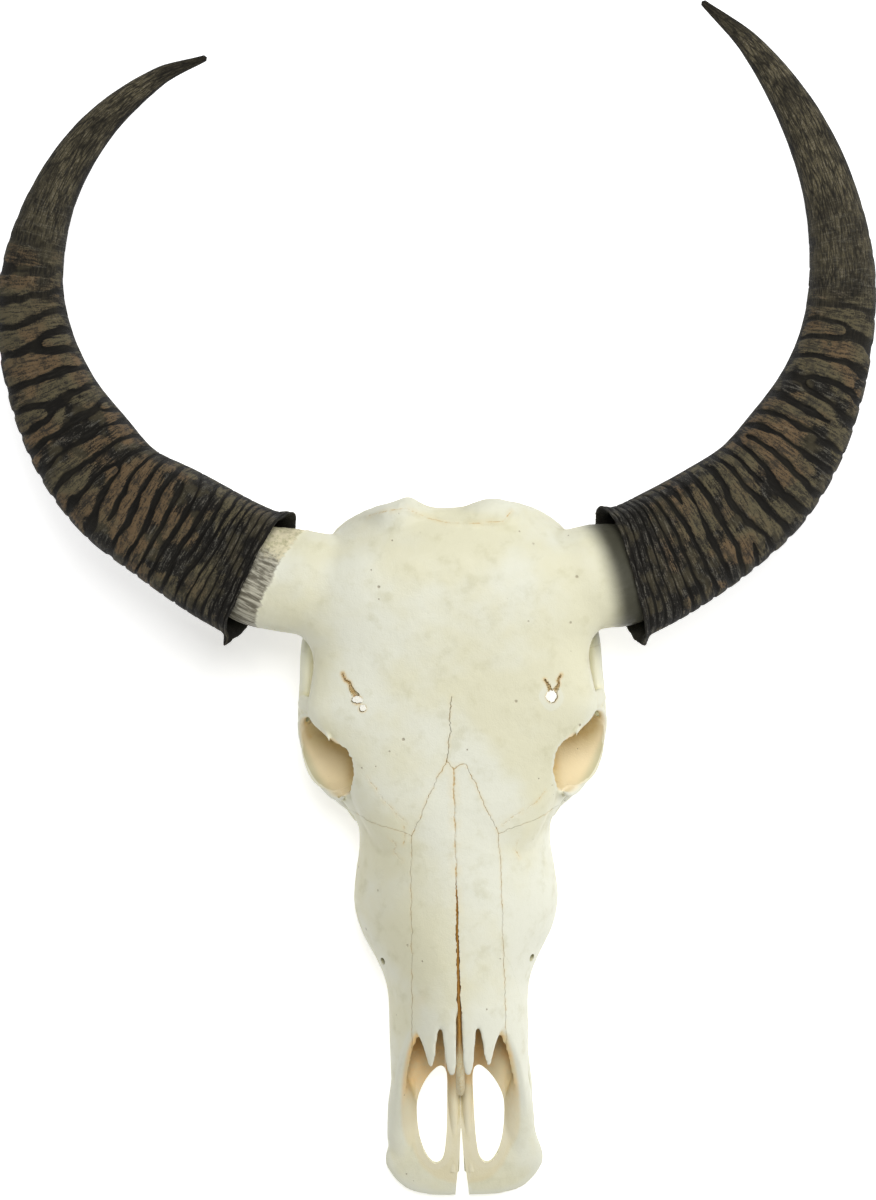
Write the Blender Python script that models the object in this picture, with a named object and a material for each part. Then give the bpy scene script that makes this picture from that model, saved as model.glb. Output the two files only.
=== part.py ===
"""A water buffalo skull without its lower jaw, life size, lying on its cheek teeth and on the two
processes beside the neck joint.

It is modelled lying flat in the skull's own frame, in millimetres: +X to the skull's left as seen from
above with the nose towards the viewer, +Y from the nose tip to the poll, +Z up out of the forehead.
At the end everything hangs on one empty that tips it about X until it lies on the floor, z = 0, in metres.
"""

import math
import random

import bmesh
import bpy
import numpy as np
from mathutils import Vector

MM = 0.001

# Clear space at a suture, and between a horn core and its sheath.
SEAM = 0.36
GAP = 0.3

# How the skull lies: the tilt of its own frame, and the floor's depth below that frame at the nose.
REST_TILT = math.radians(11.0)
FLOOR_DEPTH_AT_NOSE = 89.0

# Cell sizes in which the heavy shapes, and then all the bone, are melted into one skin, and the share of
# that skin's triangles that is kept.
BODY_VOXEL = 4.0
VOXEL = 2.7
BONE_SHARE = 0.047

# Sections of the skull at stations from the nose tip. Each row is the station, half-width, top, level of
# the widest point, bottom, and how square the section is above and below that level.
FACE = [
    (24, 50, -46, -68, -80, 2, 3),
    (62, 51.5, -24, -67, -82, 2, 3.5),
    (90, 52.5, -16, -67, -85, 2, 4),
    (123, 53, -11, -68, -89, 2, 4),
    (153, 54, -8.5, -70, -92, 2, 4),
    (172, 61.5, -7.5, -75, -95, 2, 4),
    (194, 73, -6.5, -80, -99, 2, 4),
    (216, 78, -6, -81, -103, 2, 4),
    (240, 75.5, -5.5, -78, -107, 2, 4),
    (260, 72.5, -5.5, -73, -111, 2.1, 4),
    (282, 73, -5.5, -66, -114, 2.2, 3.5),
    (302, 71.5, -6, -60, -114, 2.2, 3),
    (328, 61, -8, -58, -108, 2.2, 2.5),
]
NASAL_CAVITY = [
    (20, 42, -36, -60, -70, 2.0, 4.0),
    (70, 43, -30, -62, -74, 2.0, 4.0),
    (110, 43, -19, -62, -77, 2.2, 4.0),
    (160, 43, -14, -64, -83, 2.3, 4.0),
    (210, 43, -12.5, -66, -90, 2.6, 3.0),
    (265, 41, -12, -62, -92, 2.8, 3.0),
    (300, 34, -12.5, -52, -84, 2.6, 2.4),
    (328, 18, -15, -44, -66, 2.2, 2.0),
]
FRONTAL = [
    (262, 60, -8, -36, -62, 2.2, 2.0),
    (285, 72, -5.5, -34, -62, 2.3, 2.0),
    (305, 80, -5, -31, -60, 2.4, 2.0),
    (325, 86, -4, -26, -54, 2.5, 2.0),
    (345, 99, -3, -22, -46, 2.5, 2.0),
    (361, 110, -1.5, -20, -40, 2.5, 2.0),
    (378, 106, 0, -22, -44, 2.5, 2.0),
    (400, 102.5, 2.5, -26, -54, 2.5, 2.0),
    (425, 108, 5, -31, -66, 2.4, 2.0),
    (450, 116, 6, -35, -74, 2.4, 2.0),
    (475, 112, 4, -38, -80, 2.3, 2.0),
    (491, 90, -2, -42, -84, 2.2, 2.0),
    (504, 74, -9, -44, -82, 2.2, 2.0),
    (513, 48, -18, -44, -72, 2.2, 2.0),
]
BRAINCASE = [
    (300, 26, -20, -70, -104, 2.2, 2.2),
    (330, 42, -12, -66, -106, 2.2, 2.2),
    (360, 52, -8, -66, -112, 2.2, 2.3),
    (395, 58, -6, -70, -122, 2.2, 2.4),
    (425, 66, -6, -76, -134, 2.3, 2.6),
    (450, 76, -6, -82, -144, 2.4, 2.6),
    (475, 84, -10, -86, -146, 2.4, 2.6),
    (493, 82, -14, -84, -138, 2.4, 2.4),
    (502, 66, -24, -80, -122, 2.4, 2.2),
]
# The front plates of the premaxillae, flat and flared.
PREMAXILLA = [
    (-10, 25, -74, -77, -80, 2.5, 2.5),
    (-7, 38, -72.5, -76, -80.5, 2.5, 2.5),
    (-2, 47, -71, -76, -81, 2.6, 2.6),
    (8, 55.5, -69, -75, -81.5, 2.6, 2.6),
    (17, 60, -67.5, -74, -82, 2.6, 2.6),
    (26, 59, -66.5, -74, -82, 2.6, 2.8),
    (36, 55.5, -66, -73, -82, 2.6, 3),
    (50, 53.5, -66, -73, -82, 2.6, 3),
    (75, 53, -67, -74, -83, 2.8, 3),
    (97, 51, -69, -76, -84, 2.8, 3),
]
PREMAXILLA_ASIDE = 2.0
# The upper edge of the snout's side walls, as places and levels: what lies above it is the nose opening.
NOSE_OPENING = [
    (137, 30), (137, -12), (129, -20), (112, -31), (89, -44), (62, -56), (34, -64), (6, -65), (-30, -65),
]
# One opening in the hard palate behind the front plates, as widths from the midline and places.
PALATE_SLOT = [
    (10, 86), (14, 90), (20, 86), (27, 77), (32, 66), (33, 53), (31, 38), (27, 26), (20, 18), (15, 21),
    (12, 31), (10.5, 49), (10, 69),
]
# Plan outline of one nasal bone's free front end: an inner and an outer prong with a notch between.
NASAL_PRONGS = [
    (1.6, 140), (1.8, 110), (4, 86), (7.5, 85), (11.5, 98), (12.5, 126), (14.5, 127), (17.5, 110),
    (21.5, 94), (25.5, 104), (30, 120), (34.5, 135), (34.5, 140),
]
NASAL_TIP_THICKNESS = 5.0
# The sutures round the roof of the nose: its outer edge, and its end against the forehead.
NASAL_EDGE = [(36, 60), (35, 136), (34, 190), (33.5, 235), (32.5, 269), (20, 296), (11, 321), (0, 322.5)]
NASAL_END = [(33.5, 270), (20, 296), (11, 322), (0, 323)]
PALATE_ROOF = -88.0

ORBIT_CENTRE = (98.0, 328.0, -42.0)
ORBIT_FACING = (0.88, -0.35, 0.32)
ORBIT_RADIUS = 31.0
ORBIT_RIM_RADIUS = 34.0
ORBIT_RIM_THICKNESS = 4.0

FLOOR_SLOPE = math.tan(REST_TILT)


def floor_level(y):
    """The level, in the skull's frame, of the floor that the tipped skull lies on."""
    return -(FLOOR_DEPTH_AT_NOSE + FLOOR_SLOPE * y)


# Teeth from front to back: length along the row, width, distance of the centre from the midline.
TEETH = [(15, 15, 47), (18, 18, 50), (19, 21, 52.5), (25, 23, 54.5), (28, 24, 56), (30, 23, 57)]
TOOTH_ROW_START = 157.0
TOOTH_ROOT = 16.0
CROWN_HEIGHT = 13.0

# The horns from rim to tip: x, y and z of the centre line, and the half-width across the curve.
# The key is the side of the skull: 1 its left, -1 its right.
HORNS = {
    1: [
        (128, 459, -36, 49), (158, 473, -44, 48), (198, 496, -52, 45.5), (235, 523, -58, 42),
        (264, 560, -63, 38), (286, 601, -66, 31.5), (299, 644, -68, 27), (303, 690, -69, 24.5),
        (294, 750, -69, 20), (272, 806, -66, 15.5), (238, 857, -60, 9), (201, 891, -54, 2.4),
    ],
    -1: [
        (-141, 464, -36, 49.5), (-169, 479, -44, 48), (-208, 504, -52, 45.5), (-247, 530, -58, 41.5),
        (-276, 567, -63, 39), (-297, 606, -66, 33), (-310, 650, -68, 28), (-312, 696, -69, 23.5),
        (-295, 755, -69, 18), (-262, 805, -66, 13.5), (-214, 843, -60, 7.5), (-176, 857, -54, 2.4),
    ],
}
# How far a rim leans along the horn from its outer to its inner edge.
RIM_LEAN = {1: 8.0, -1: 0.0}
# A horn's depth as a share of its width, and the places round it where its oval is fuller or flatter:
# the angle, the spread and the change.
HORN_DEPTH_AT_RIM = 0.74
HORN_DEPTH_AT_TIP = 0.92
HORN_CHANGES = [(0.95, 0.38, 0.16), (2.45, 0.55, 0.06), (1.75, 0.45, -0.10)]
HORN_SIDES = 14
HORN_RINGS = 46
RIDGED_LENGTH = 330.0
RIDGE_PITCH = 25.0
RIDGE_HEIGHT = 1.3
SHEATH_WALL_AT_RIM = 4.5
SOCKET_FLARE = 22.0
SOCKET_DEPTH = 72.0

BONE = (0.78, 0.75, 0.62, 1.0)
BONE_ROUGHNESS = 0.55
HORN = (0.055, 0.045, 0.035, 1.0)
HORN_ROUGHNESS = 0.6


def finish(name, colour, roughness):
    """A plain material of one colour."""
    material = bpy.data.materials.new(name)
    material.use_nodes = True
    shader = material.node_tree.nodes["Principled BSDF"]
    shader.inputs["Base Color"].default_value = colour
    shader.inputs["Roughness"].default_value = roughness
    return material


def smooth_rows(rows, count, places=None):
    """`count` rows on a smooth curve through the given rows. `places` says how far along each row is."""
    rows = np.array(rows, float)
    if places is None:
        steps = np.linalg.norm(np.diff(rows[:, :3], axis=0), axis=1)
        places = np.concatenate([[0], np.cumsum(steps)])
    places = np.array(places, float)
    slope = np.empty_like(rows)
    slope[1:-1] = (rows[2:] - rows[:-2]) / (places[2:] - places[:-2])[:, None]
    slope[0] = (rows[1] - rows[0]) / (places[1] - places[0])
    slope[-1] = (rows[-1] - rows[-2]) / (places[-1] - places[-2])
    at = np.linspace(places[0], places[-1], count) if np.isscalar(count) else np.array(count, float)
    i = np.clip(np.searchsorted(places, at, "right") - 1, 0, len(places) - 2)
    gap = (places[i + 1] - places[i])[:, None]
    t = (at - places[i])[:, None] / gap
    return (
        (2 * t**3 - 3 * t**2 + 1) * rows[i]
        + (t**3 - 2 * t**2 + t) * gap * slope[i]
        + (3 * t**2 - 2 * t**3) * rows[i + 1]
        + (t**3 - t**2) * gap * slope[i + 1]
    )


def mesh_object(name, points, faces):
    """A mesh object from points in millimetres, with its faces turned outwards."""
    mesh = bpy.data.meshes.new(name)
    mesh.from_pydata([tuple(float(c) * MM for c in p) for p in points], [], faces)
    work = bmesh.new()
    work.from_mesh(mesh)
    bmesh.ops.recalc_face_normals(work, faces=work.faces)
    work.to_mesh(mesh)
    work.free()
    made = bpy.data.objects.new(name, mesh)
    bpy.context.scene.collection.objects.link(made)
    return made


def skin(name, rings):
    """A closed mesh over rings with the same number of points, its two ends filled."""
    sides = len(rings[0])
    points = [p for ring in rings for p in ring]
    faces = [tuple(range(sides)), tuple(range(len(points) - sides, len(points)))]
    for r in range(len(rings) - 1):
        for i in range(sides):
            j = (i + 1) % sides
            faces.append((r * sides + i, r * sides + j, (r + 1) * sides + j, (r + 1) * sides + i))
    return mesh_object(name, points, faces)


def power(value, exponent):
    """The value's size raised to a power, with its own sign."""
    return math.copysign(abs(value) ** exponent, value)


def body(name, rows, sides=28, rings=40, aside=0.0):
    """A solid whose sections stand across Y, rounded above and below by their own exponents."""
    made = []
    for y, wide, top, middle, bottom, above, below in smooth_rows(rows, rings, [r[0] for r in rows]):
        ring = []
        for k in range(sides):
            turn = math.tau * k / sides
            c, s = math.cos(turn), math.sin(turn)
            roundness = 2 / (above if s > 0 else below)
            height = (top - middle) if s > 0 else (middle - bottom)
            ring.append((aside + wide * power(c, roundness), y, middle + height * power(s, roundness)))
        made.append(ring)
    return skin(name, made)


def rod(name, rows, sides=12, rings=16, square=2.0, up=(0, 0, 1)):
    """A solid along a bent line. Each row is x, y, z, half-width to the side and half-height towards `up`."""
    rows = smooth_rows(rows, rings)
    line = rows[:, :3]
    made = []
    for i, row in enumerate(rows):
        along = Vector(line[min(i + 1, len(line) - 1)] - line[max(i - 1, 0)]).normalized()
        aside = along.cross(Vector(up)).normalized()
        upward = aside.cross(along)
        ring = []
        for k in range(sides):
            turn = math.tau * k / sides
            ring.append(
                Vector(row[:3])
                + aside * (row[3] * power(math.cos(turn), 2 / square))
                + upward * (row[4] * power(math.sin(turn), 2 / square))
            )
        made.append(ring)
    return skin(name, made)


def lump(name, centre, radii, rings=10, sides=16):
    """An ellipsoid."""
    made = []
    for i in range(rings):
        turn = math.pi * (i + 0.5) / rings
        z, r = math.cos(turn), math.sin(turn)
        made.append(
            [
                (
                    centre[0] + radii[0] * r * math.cos(math.tau * k / sides),
                    centre[1] + radii[1] * r * math.sin(math.tau * k / sides),
                    centre[2] + radii[2] * z,
                )
                for k in range(sides)
            ]
        )
    return skin(name, made)


def ring_around(name, centre, facing, radius, thickness, turns=32, sides=10):
    """A closed round bar about an axis, such as the rim of an eye socket."""
    aside = facing.cross(Vector((0, 0, 1))).normalized()
    upward = aside.cross(facing)
    points = []
    for i in range(turns):
        turn = math.tau * i / turns
        out = aside * math.cos(turn) + upward * math.sin(turn)
        for k in range(sides):
            round_bar = math.tau * k / sides
            reach = radius + thickness * math.cos(round_bar)
            points.append(centre + out * reach + facing * (thickness * math.sin(round_bar)))
    faces = []
    for i in range(turns):
        for k in range(sides):
            i2, k2 = (i + 1) % turns, (k + 1) % sides
            faces.append((i * sides + k, i2 * sides + k, i2 * sides + k2, i * sides + k2))
    return mesh_object(name, points, faces)


def prism(name, outline, low, high):
    """A plan outline of x and y standing from one level to another."""
    count = len(outline)
    points = [(x, y, z) for z in (low, high) for x, y in outline]
    faces = [tuple(range(count)), tuple(range(count, 2 * count))]
    faces += [(i, (i + 1) % count, count + (i + 1) % count, count + i) for i in range(count)]
    return mesh_object(name, points, faces)


def side_prism(name, outline, left, right):
    """A side outline of y and z running across from one x to another."""
    count = len(outline)
    points = [(x, y, z) for x in (left, right) for y, z in outline]
    faces = [tuple(range(count)), tuple(range(count, 2 * count))]
    faces += [(i, (i + 1) % count, count + (i + 1) % count, count + i) for i in range(count)]
    return mesh_object(name, points, faces)


def fence(name, line, low, high, thickness=SEAM):
    """A thin wall along a plan line, for a cut between two bones."""
    line = [Vector((*p, 0)) for p in line]
    left, right = [], []
    for i, p in enumerate(line):
        along = (line[min(i + 1, len(line) - 1)] - line[max(i - 1, 0)]).normalized()
        aside = Vector((-along.y, along.x, 0)) * (thickness / 2)
        left.append((p + aside)[:2])
        right.append((p - aside)[:2])
    return prism(name, left + right[::-1], low, high)


def mirrored(side, line):
    """A plan line on one side of the skull."""
    return [(side * x, y) for x, y in line]


def both_sides(make):
    """The same shape on the skull's left and, mirrored, on its right."""
    return [make(side) for side in (1, -1)]


def settle(made):
    """Puts the object's modifiers into its mesh."""
    graph = bpy.context.evaluated_depsgraph_get()
    mesh = bpy.data.meshes.new_from_object(made.evaluated_get(graph))
    made.modifiers.clear()
    made.data = mesh


def boolean(made, others, operation):
    """Joins or cuts with every object of a list at once, which then goes. The exact solver leaves slivers
    where the thin cuts meet, so this is the manifold one."""
    group = bpy.data.collections.new("pieces")
    for other in others:
        group.objects.link(other)
    modifier = made.modifiers.new("boolean", "BOOLEAN")
    modifier.operation = operation
    modifier.operand_type = "COLLECTION"
    modifier.collection = group
    modifier.solver = "MANIFOLD"
    settle(made)
    for other in others:
        bpy.data.objects.remove(other)
    bpy.data.collections.remove(group)
    return made


def islands(mesh):
    """Sets of face indices, one for each connected surface, the largest first."""
    work = bmesh.new()
    work.from_mesh(mesh)
    work.faces.ensure_lookup_table()
    left, found = set(range(len(work.faces))), []
    while left:
        stack = [left.pop()]
        group = set(stack)
        while stack:
            for edge in work.faces[stack.pop()].edges:
                for face in edge.link_faces:
                    if face.index in left:
                        left.remove(face.index)
                        group.add(face.index)
                        stack.append(face.index)
        found.append(group)
    work.free()
    return sorted(found, key=len, reverse=True)


def keep_faces(made, kept):
    """Deletes every face that isn't in the set, and the loose points."""
    work = bmesh.new()
    work.from_mesh(made.data)
    work.faces.ensure_lookup_table()
    bmesh.ops.delete(work, geom=[f for f in work.faces if f.index not in kept], context="FACES")
    work.to_mesh(made.data)
    work.free()


def keep_largest(made):
    """Keeps the object's largest closed surface."""
    groups = islands(made.data)
    if len(groups) > 1:
        keep_faces(made, groups[0])
    return made


def remesh(made, voxel, passes, smoothing=0.5):
    """Melts overlapping shapes into one skin and rounds what lies between them."""
    modifier = made.modifiers.new("remesh", "REMESH")
    modifier.mode = "VOXEL"
    modifier.voxel_size = voxel * MM
    if passes:
        rounding = made.modifiers.new("round", "SMOOTH")
        rounding.factor = smoothing
        rounding.iterations = passes
    settle(made)
    return made


def join_meshes(name, pieces):
    """One object that holds all the pieces' faces, still overlapping."""
    work = bmesh.new()
    for piece in pieces:
        work.from_mesh(piece.data)
        bpy.data.objects.remove(piece)
    mesh = bpy.data.meshes.new(name)
    work.to_mesh(mesh)
    work.free()
    made = bpy.data.objects.new(name, mesh)
    bpy.context.scene.collection.objects.link(made)
    return made


def horn_core(side):
    """The bony core of a horn, flared where it leaves the forehead, as far as just inside the sheath."""
    rim, beyond = Vector(HORNS[side][0][:3]), Vector(HORNS[side][1][:3])
    rows = [(side * 60, 454, -38, 38, 32), (side * 90, 457, -37, 38, 32), (side * 108, 459, -36, 39.5, 31)]
    for share, wide, deep in ((0.06, 38.5, 26), (0.36, 37, 24.5)):
        rows.append((*rim.lerp(beyond, share), wide, deep))
    return rod("horn_core", rows, sides=20, rings=14, square=2.2)


def zygomatic_arch(side):
    """The cheek bar from the face, under the eye socket, back to the ear."""
    return rod(
        "arch",
        [
            (side * 60, 212, -82, 9, 15),
            (side * 63, 258, -80, 8, 15),
            (side * 69, 284, -77, 8, 15),
            (side * 85, 300, -76, 9, 14),
            (side * 102, 321, -77, 8, 12),
            (side * 111, 350, -75, 6, 10),
            (side * 107, 386, -73, 5.5, 8.5),
            (side * 102, 420, -77, 6, 8),
            (side * 88, 450, -86, 9, 10),
        ],
        rings=26,
    )


def postorbital_bar(side):
    """The upright bar behind the eye socket."""
    return rod(
        "bar",
        [(side * 102, 364, -18, 8, 6), (side * 111, 367, -34, 7, 4.5), (side * 113, 368, -54, 7, 4.5),
         (side * 111, 364, -74, 9, 5)],
        up=(1, 0, 0),
    )


def orbit_axis(side):
    """The middle of an eye socket's mouth, and the direction that it faces."""
    x, y, z = ORBIT_CENTRE
    out, ahead, up = ORBIT_FACING
    return Vector((side * x, y, z)), Vector((side * out, ahead, up)).normalized()


def orbit_rim(side):
    """The thickened edge of the eye socket."""
    centre, facing = orbit_axis(side)
    return ring_around("rim", centre, facing, ORBIT_RIM_RADIUS, ORBIT_RIM_THICKNESS)


def orbit_cup(side):
    """The thin-walled bowl under and behind the eye, before it is hollowed."""
    return lump("cup", (side * 90, 334, -66), (25, 34, 21))


def orbit_hollow(side):
    """What is scooped out of an eye socket, from its mouth to the hole at its back."""
    centre, facing = orbit_axis(side)
    r = ORBIT_RADIUS
    stops = [
        (*(centre + facing * 40), r + 3, r + 3),
        (*(centre + facing * 4), r, r),
        (*(centre - facing * 16), r - 2, r - 2),
        (side * 66, 348, -56, r - 9, r - 8),
        (side * 48, 366, -62, 9, 11),
    ]
    return rod("orbit", stops, sides=20, rings=16)


def nuchal_crest(side):
    """The ridge from the poll down each side of the back of the skull."""
    return rod(
        "crest",
        [(side * 0, 499, -20, 8, 9), (side * 18, 506, -17, 8, 9), (side * 34, 510, -18, 10, 9),
         (side * 60, 503, -36, 9, 11), (side * 80, 490, -60, 9, 12), (side * 88, 474, -92, 9, 11)],
        up=(0, 1, 0),
    )


def ear_region(side):
    """The swelling behind the ear opening."""
    return lump("mastoid", (side * 76, 466, -94), (19, 22, 36))


def jugular_process(side):
    """The stout process that the back of the skull stands on."""
    return rod(
        "jugular",
        [(side * 68, 473, -100, 22, 17), (side * 67, 472, -128, 18, 12), (side * 65, 468, -154, 12.5, 8.5),
         (side * 62, 463, -188, 7.5, 6.5)],
        up=(0, 1, 0),
    )


def condyle(side):
    """One of the two knobs of the neck joint."""
    return rod(
        "condyle",
        [(side * 14, 468, -150, 15, 12), (side * 23, 484, -147, 16, 15), (side * 32, 492, -132, 15, 16),
         (side * 32, 486, -110, 11, 13)],
        up=(0, 1, 0),
    )


def bulla(side):
    """The hollow ear capsule under the skull."""
    return lump("bulla", (side * 46, 434, -138), (12, 20, 15))


def pterygoid_wing(side):
    """The upright plate beside the throat opening."""
    return rod(
        "wing",
        [(side * 24, 286, -112, 4, 10), (side * 23, 312, -118, 3.4, 18), (side * 21, 340, -122, 3.2, 24),
         (side * 20, 366, -120, 3.4, 20), (side * 22, 392, -122, 5, 10)],
    )


def tooth_ridge(side):
    """The bone that the cheek teeth stand in: place, distance out, half-width, and how far short of them."""
    top = -84
    stations = [(132, 43, 5, 10), (152, 45, 8, 3), (172, 49, 11, 0), (205, 53, 12.5, 0), (245, 55, 13.5, 0),
                (285, 56.5, 13, 0), (302, 56, 11, 5), (314, 54, 6, 16)]
    rows = []
    for y, x, wide, short in stations:
        low = floor_level(y) + CROWN_HEIGHT + short
        rows.append((side * x, y, (low + top) / 2, wide, (top - low) / 2))
    return rod("ridge", rows, square=2.6, sides=16)


def palate_rod(side):
    """The slim inner process between the two palate openings."""
    return rod(
        "palate_rod",
        [(side * 7, 10, -74, 5, 6), (side * 5.4, 36, -72, 4.4, 6), (side * 5.2, 67, -69, 4.4, 7),
         (side * 5.2, 106, -68, 4.6, 9)],
        rings=10,
    )


def facial_tuber(side):
    """The knob on the cheek above the front molar."""
    return lump("tuber", (side * 63, 216, -87), (14, 30, 13))


def crest_corner(side):
    """The low corner of the poll on each side of its notch."""
    return lump("corner", (side * 33, 504, -22), (24, 16, 15))


def cheek_root(side):
    """The cheekbone's body, between the face and the eye socket."""
    return rod(
        "cheek_root",
        [(side * 46, 250, -66, 14, 20), (side * 57, 272, -62, 13, 24), (side * 68, 290, -60, 11.5, 25),
         (side * 84, 306, -68, 9, 15)],
    )


def orbit_floor(side):
    """The bone under the eye socket, thin-walled and swollen, with the ledge of the cheekbone beside it."""
    return rod(
        "orbit_floor",
        [(side * 62, 284, -88, 16, 16), (side * 74, 306, -90, 18, 12), (side * 88, 332, -86, 15, 7),
         (side * 101, 358, -80, 9, 6), (side * 106, 376, -76, 5, 6)],
    )


def occiput_knob():
    """The knob and ridge in the middle of the back of the skull."""
    return rod(
        "knob",
        [(0, 500, -34, 12, 9), (0, 506, -52, 11, 8), (0, 500, -76, 7, 6), (0, 494, -98, 6, 5)],
        up=(0, 1, 0),
    )


def vomer():
    """The upright plate in the middle of the nose."""
    return rod(
        "vomer",
        [(0, 96, -74, 3.4, 8), (0, 130, -68, 3.2, 16), (0, 180, -66, 3.2, 20), (0, 262, -68, 3.4, 22)],
    )


def premaxilla_slit():
    """The wedge-shaped gap between the two front plates."""
    edge = [(6, -16), (3.4, 8), (1.4, 25), (0.2, 43)]
    return prism("slit", edge + mirrored(-1, edge[::-1]), -110, -40)


def palate_slot(side):
    """The opening beside the midline behind the front plates."""
    return prism("slot", mirrored(side, PALATE_SLOT), -100, -60)


def nasal_prong(side):
    """The free front end of one nasal bone, cut to its outline from the arched roof of the nose."""
    wall, foot, under_front = 5, 4, 30
    under = [(y, wide - wall, top - NASAL_TIP_THICKNESS, middle, bottom + foot, above, below)
             for y, wide, top, middle, bottom, above, below in FACE]
    under[0] = (under_front, *under[0][1:])
    roof = boolean(body("roof", FACE, 32, 40), [body("under", under, 32, 40)], "DIFFERENCE")
    outline = prism("outline", mirrored(side, NASAL_PRONGS), -38, 20)
    return keep_largest(boolean(roof, [outline], "INTERSECT"))


def horn_length(side):
    """How long a horn is along its centre line."""
    rows = np.array(HORNS[side], float)
    return np.linalg.norm(np.diff(rows[:, :3], axis=0), axis=1).sum()


def horn_path(side, reach):
    """Rows on a horn's centre line, each `reach` millimetres from the rim or, below 0, in front of it."""
    rows, reach = np.array(HORNS[side], float), np.array(reach, float)[:, None]
    steps = np.linalg.norm(np.diff(rows[:, :3], axis=0), axis=1)
    path = smooth_rows(rows, np.maximum(reach[:, 0], 0), np.concatenate([[0], np.cumsum(steps)]))
    ahead = rows[0, :3] + (rows[1, :3] - rows[0, :3]) / steps[0] * reach
    path[:, :3] = np.where(reach < 0, ahead, path[:, :3])
    return path


def core_plug(side, extra=0.0):
    """The part of the horn core inside the sheath, or with `extra` the hollow that it fits."""
    stations = [(-14 - 2 * extra, 35, 24), (4, 34, 23.5), (22, 33, 23), (42, 31, 21.5), (56, 26, 18),
                (SOCKET_DEPTH + extra, 15, 11)]
    line = horn_path(side, [reach for reach, _, _ in stations])
    rows = [(*place[:3], wide + extra, deep + extra) for place, (_, wide, deep) in zip(line, stations)]
    return rod("plug", rows, sides=18, rings=9)


def horn_section(turn, tip):
    """A horn's outline about its centre line: across towards the inside of the curve, and out in front.
    It has a flat front, a ridge near its inner edge and a sloping inner face, and is round at the tip."""
    reach = 1.0
    for place, spread, change in HORN_CHANGES:
        reach += (1 - tip) * change * math.exp(-((math.remainder(turn - place, math.tau) / spread) ** 2))
    return power(math.cos(turn), 0.92) * reach, power(math.sin(turn), 0.92) * reach


def horn_skin(name, side, reach, inset=0.0, ridge_height=0.0):
    """The outside of a horn with its growth ridges at places along it, or with `inset` a hollow inside it."""
    length = horn_length(side)
    line = horn_path(side, reach)
    made = []
    for i, row in enumerate(line):
        along = Vector(line[min(i + 1, len(line) - 1), :3] - line[max(i - 1, 0), :3]).normalized()
        inward = along.cross(Vector((0, 0, 1))).normalized() * -side
        front = Vector((0, 0, 1)) - along * along.z
        tip = min(max(reach[i] / length, 0), 1)
        fade = min(1, max(0, (RIDGED_LENGTH - reach[i]) / 90))
        swell = ridge_height * fade * math.cos(math.tau * reach[i] / RIDGE_PITCH) - inset
        wide = row[3] + swell
        deep = row[3] * (HORN_DEPTH_AT_RIM + (HORN_DEPTH_AT_TIP - HORN_DEPTH_AT_RIM) * tip) + swell
        lean = RIM_LEAN[side] * max(0, 1 - abs(reach[i]) / 60)
        ring = []
        for k in range(HORN_SIDES):
            a, f = horn_section(math.tau * k / HORN_SIDES, tip)
            ring.append(Vector(row[:3]) + inward * (a * wide) + front * (f * deep) + along * (lean * a))
        made.append(ring)
    return skin(name, made)


def sheath(name, side):
    """One horn sheath, hollow at its root, where the bony core stands in it."""
    made = horn_skin(name, side, np.linspace(0, horn_length(side), HORN_RINGS), 0.0, RIDGE_HEIGHT)
    mouth = horn_skin("mouth", side, np.linspace(-10, SOCKET_FLARE, 4), SHEATH_WALL_AT_RIM)
    boolean(made, [mouth, core_plug(side, GAP)], "DIFFERENCE")
    return keep_largest(made)


def tooth_row(side):
    """The six cheek teeth of one side, each sunk in the bone by its roots. They are worn off at the floor,
    so each is made long enough to be cut there."""
    made, y = [], TOOTH_ROW_START
    for length, wide, x in TEETH:
        y += length / 2
        gum = floor_level(y) + CROWN_HEIGHT
        lean = random.uniform(-0.6, 0.6)
        rows = [(side * (x - 3), y, gum + TOOTH_ROOT, wide / 2 - 3, length / 2 - 3),
                (side * (x - 1), y, gum, wide / 2 - 0.6, length / 2 - 0.2),
                (side * x, y + lean, gum - 7, wide / 2, length / 2 + 0.7),
                (side * (x + 0.6), y + lean, gum - 20, wide / 2 - 0.4, length / 2 + 0.4)]
        made.append(rod("tooth", rows, sides=10, rings=4, square=3.2, up=(0, 1, 0)))
        y += length / 2
    return made


def above_floor(made):
    """Cuts off what lies below the floor, which leaves the small flats that the skull lies on."""
    near, far, deep, aside = -60, 560, -420, 400
    outline = [(near, floor_level(near)), (far, floor_level(far)), (far, deep), (near, deep)]
    floor = side_prism("floor", outline, -aside, aside)
    return keep_largest(boolean(made, [floor], "DIFFERENCE"))


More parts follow.
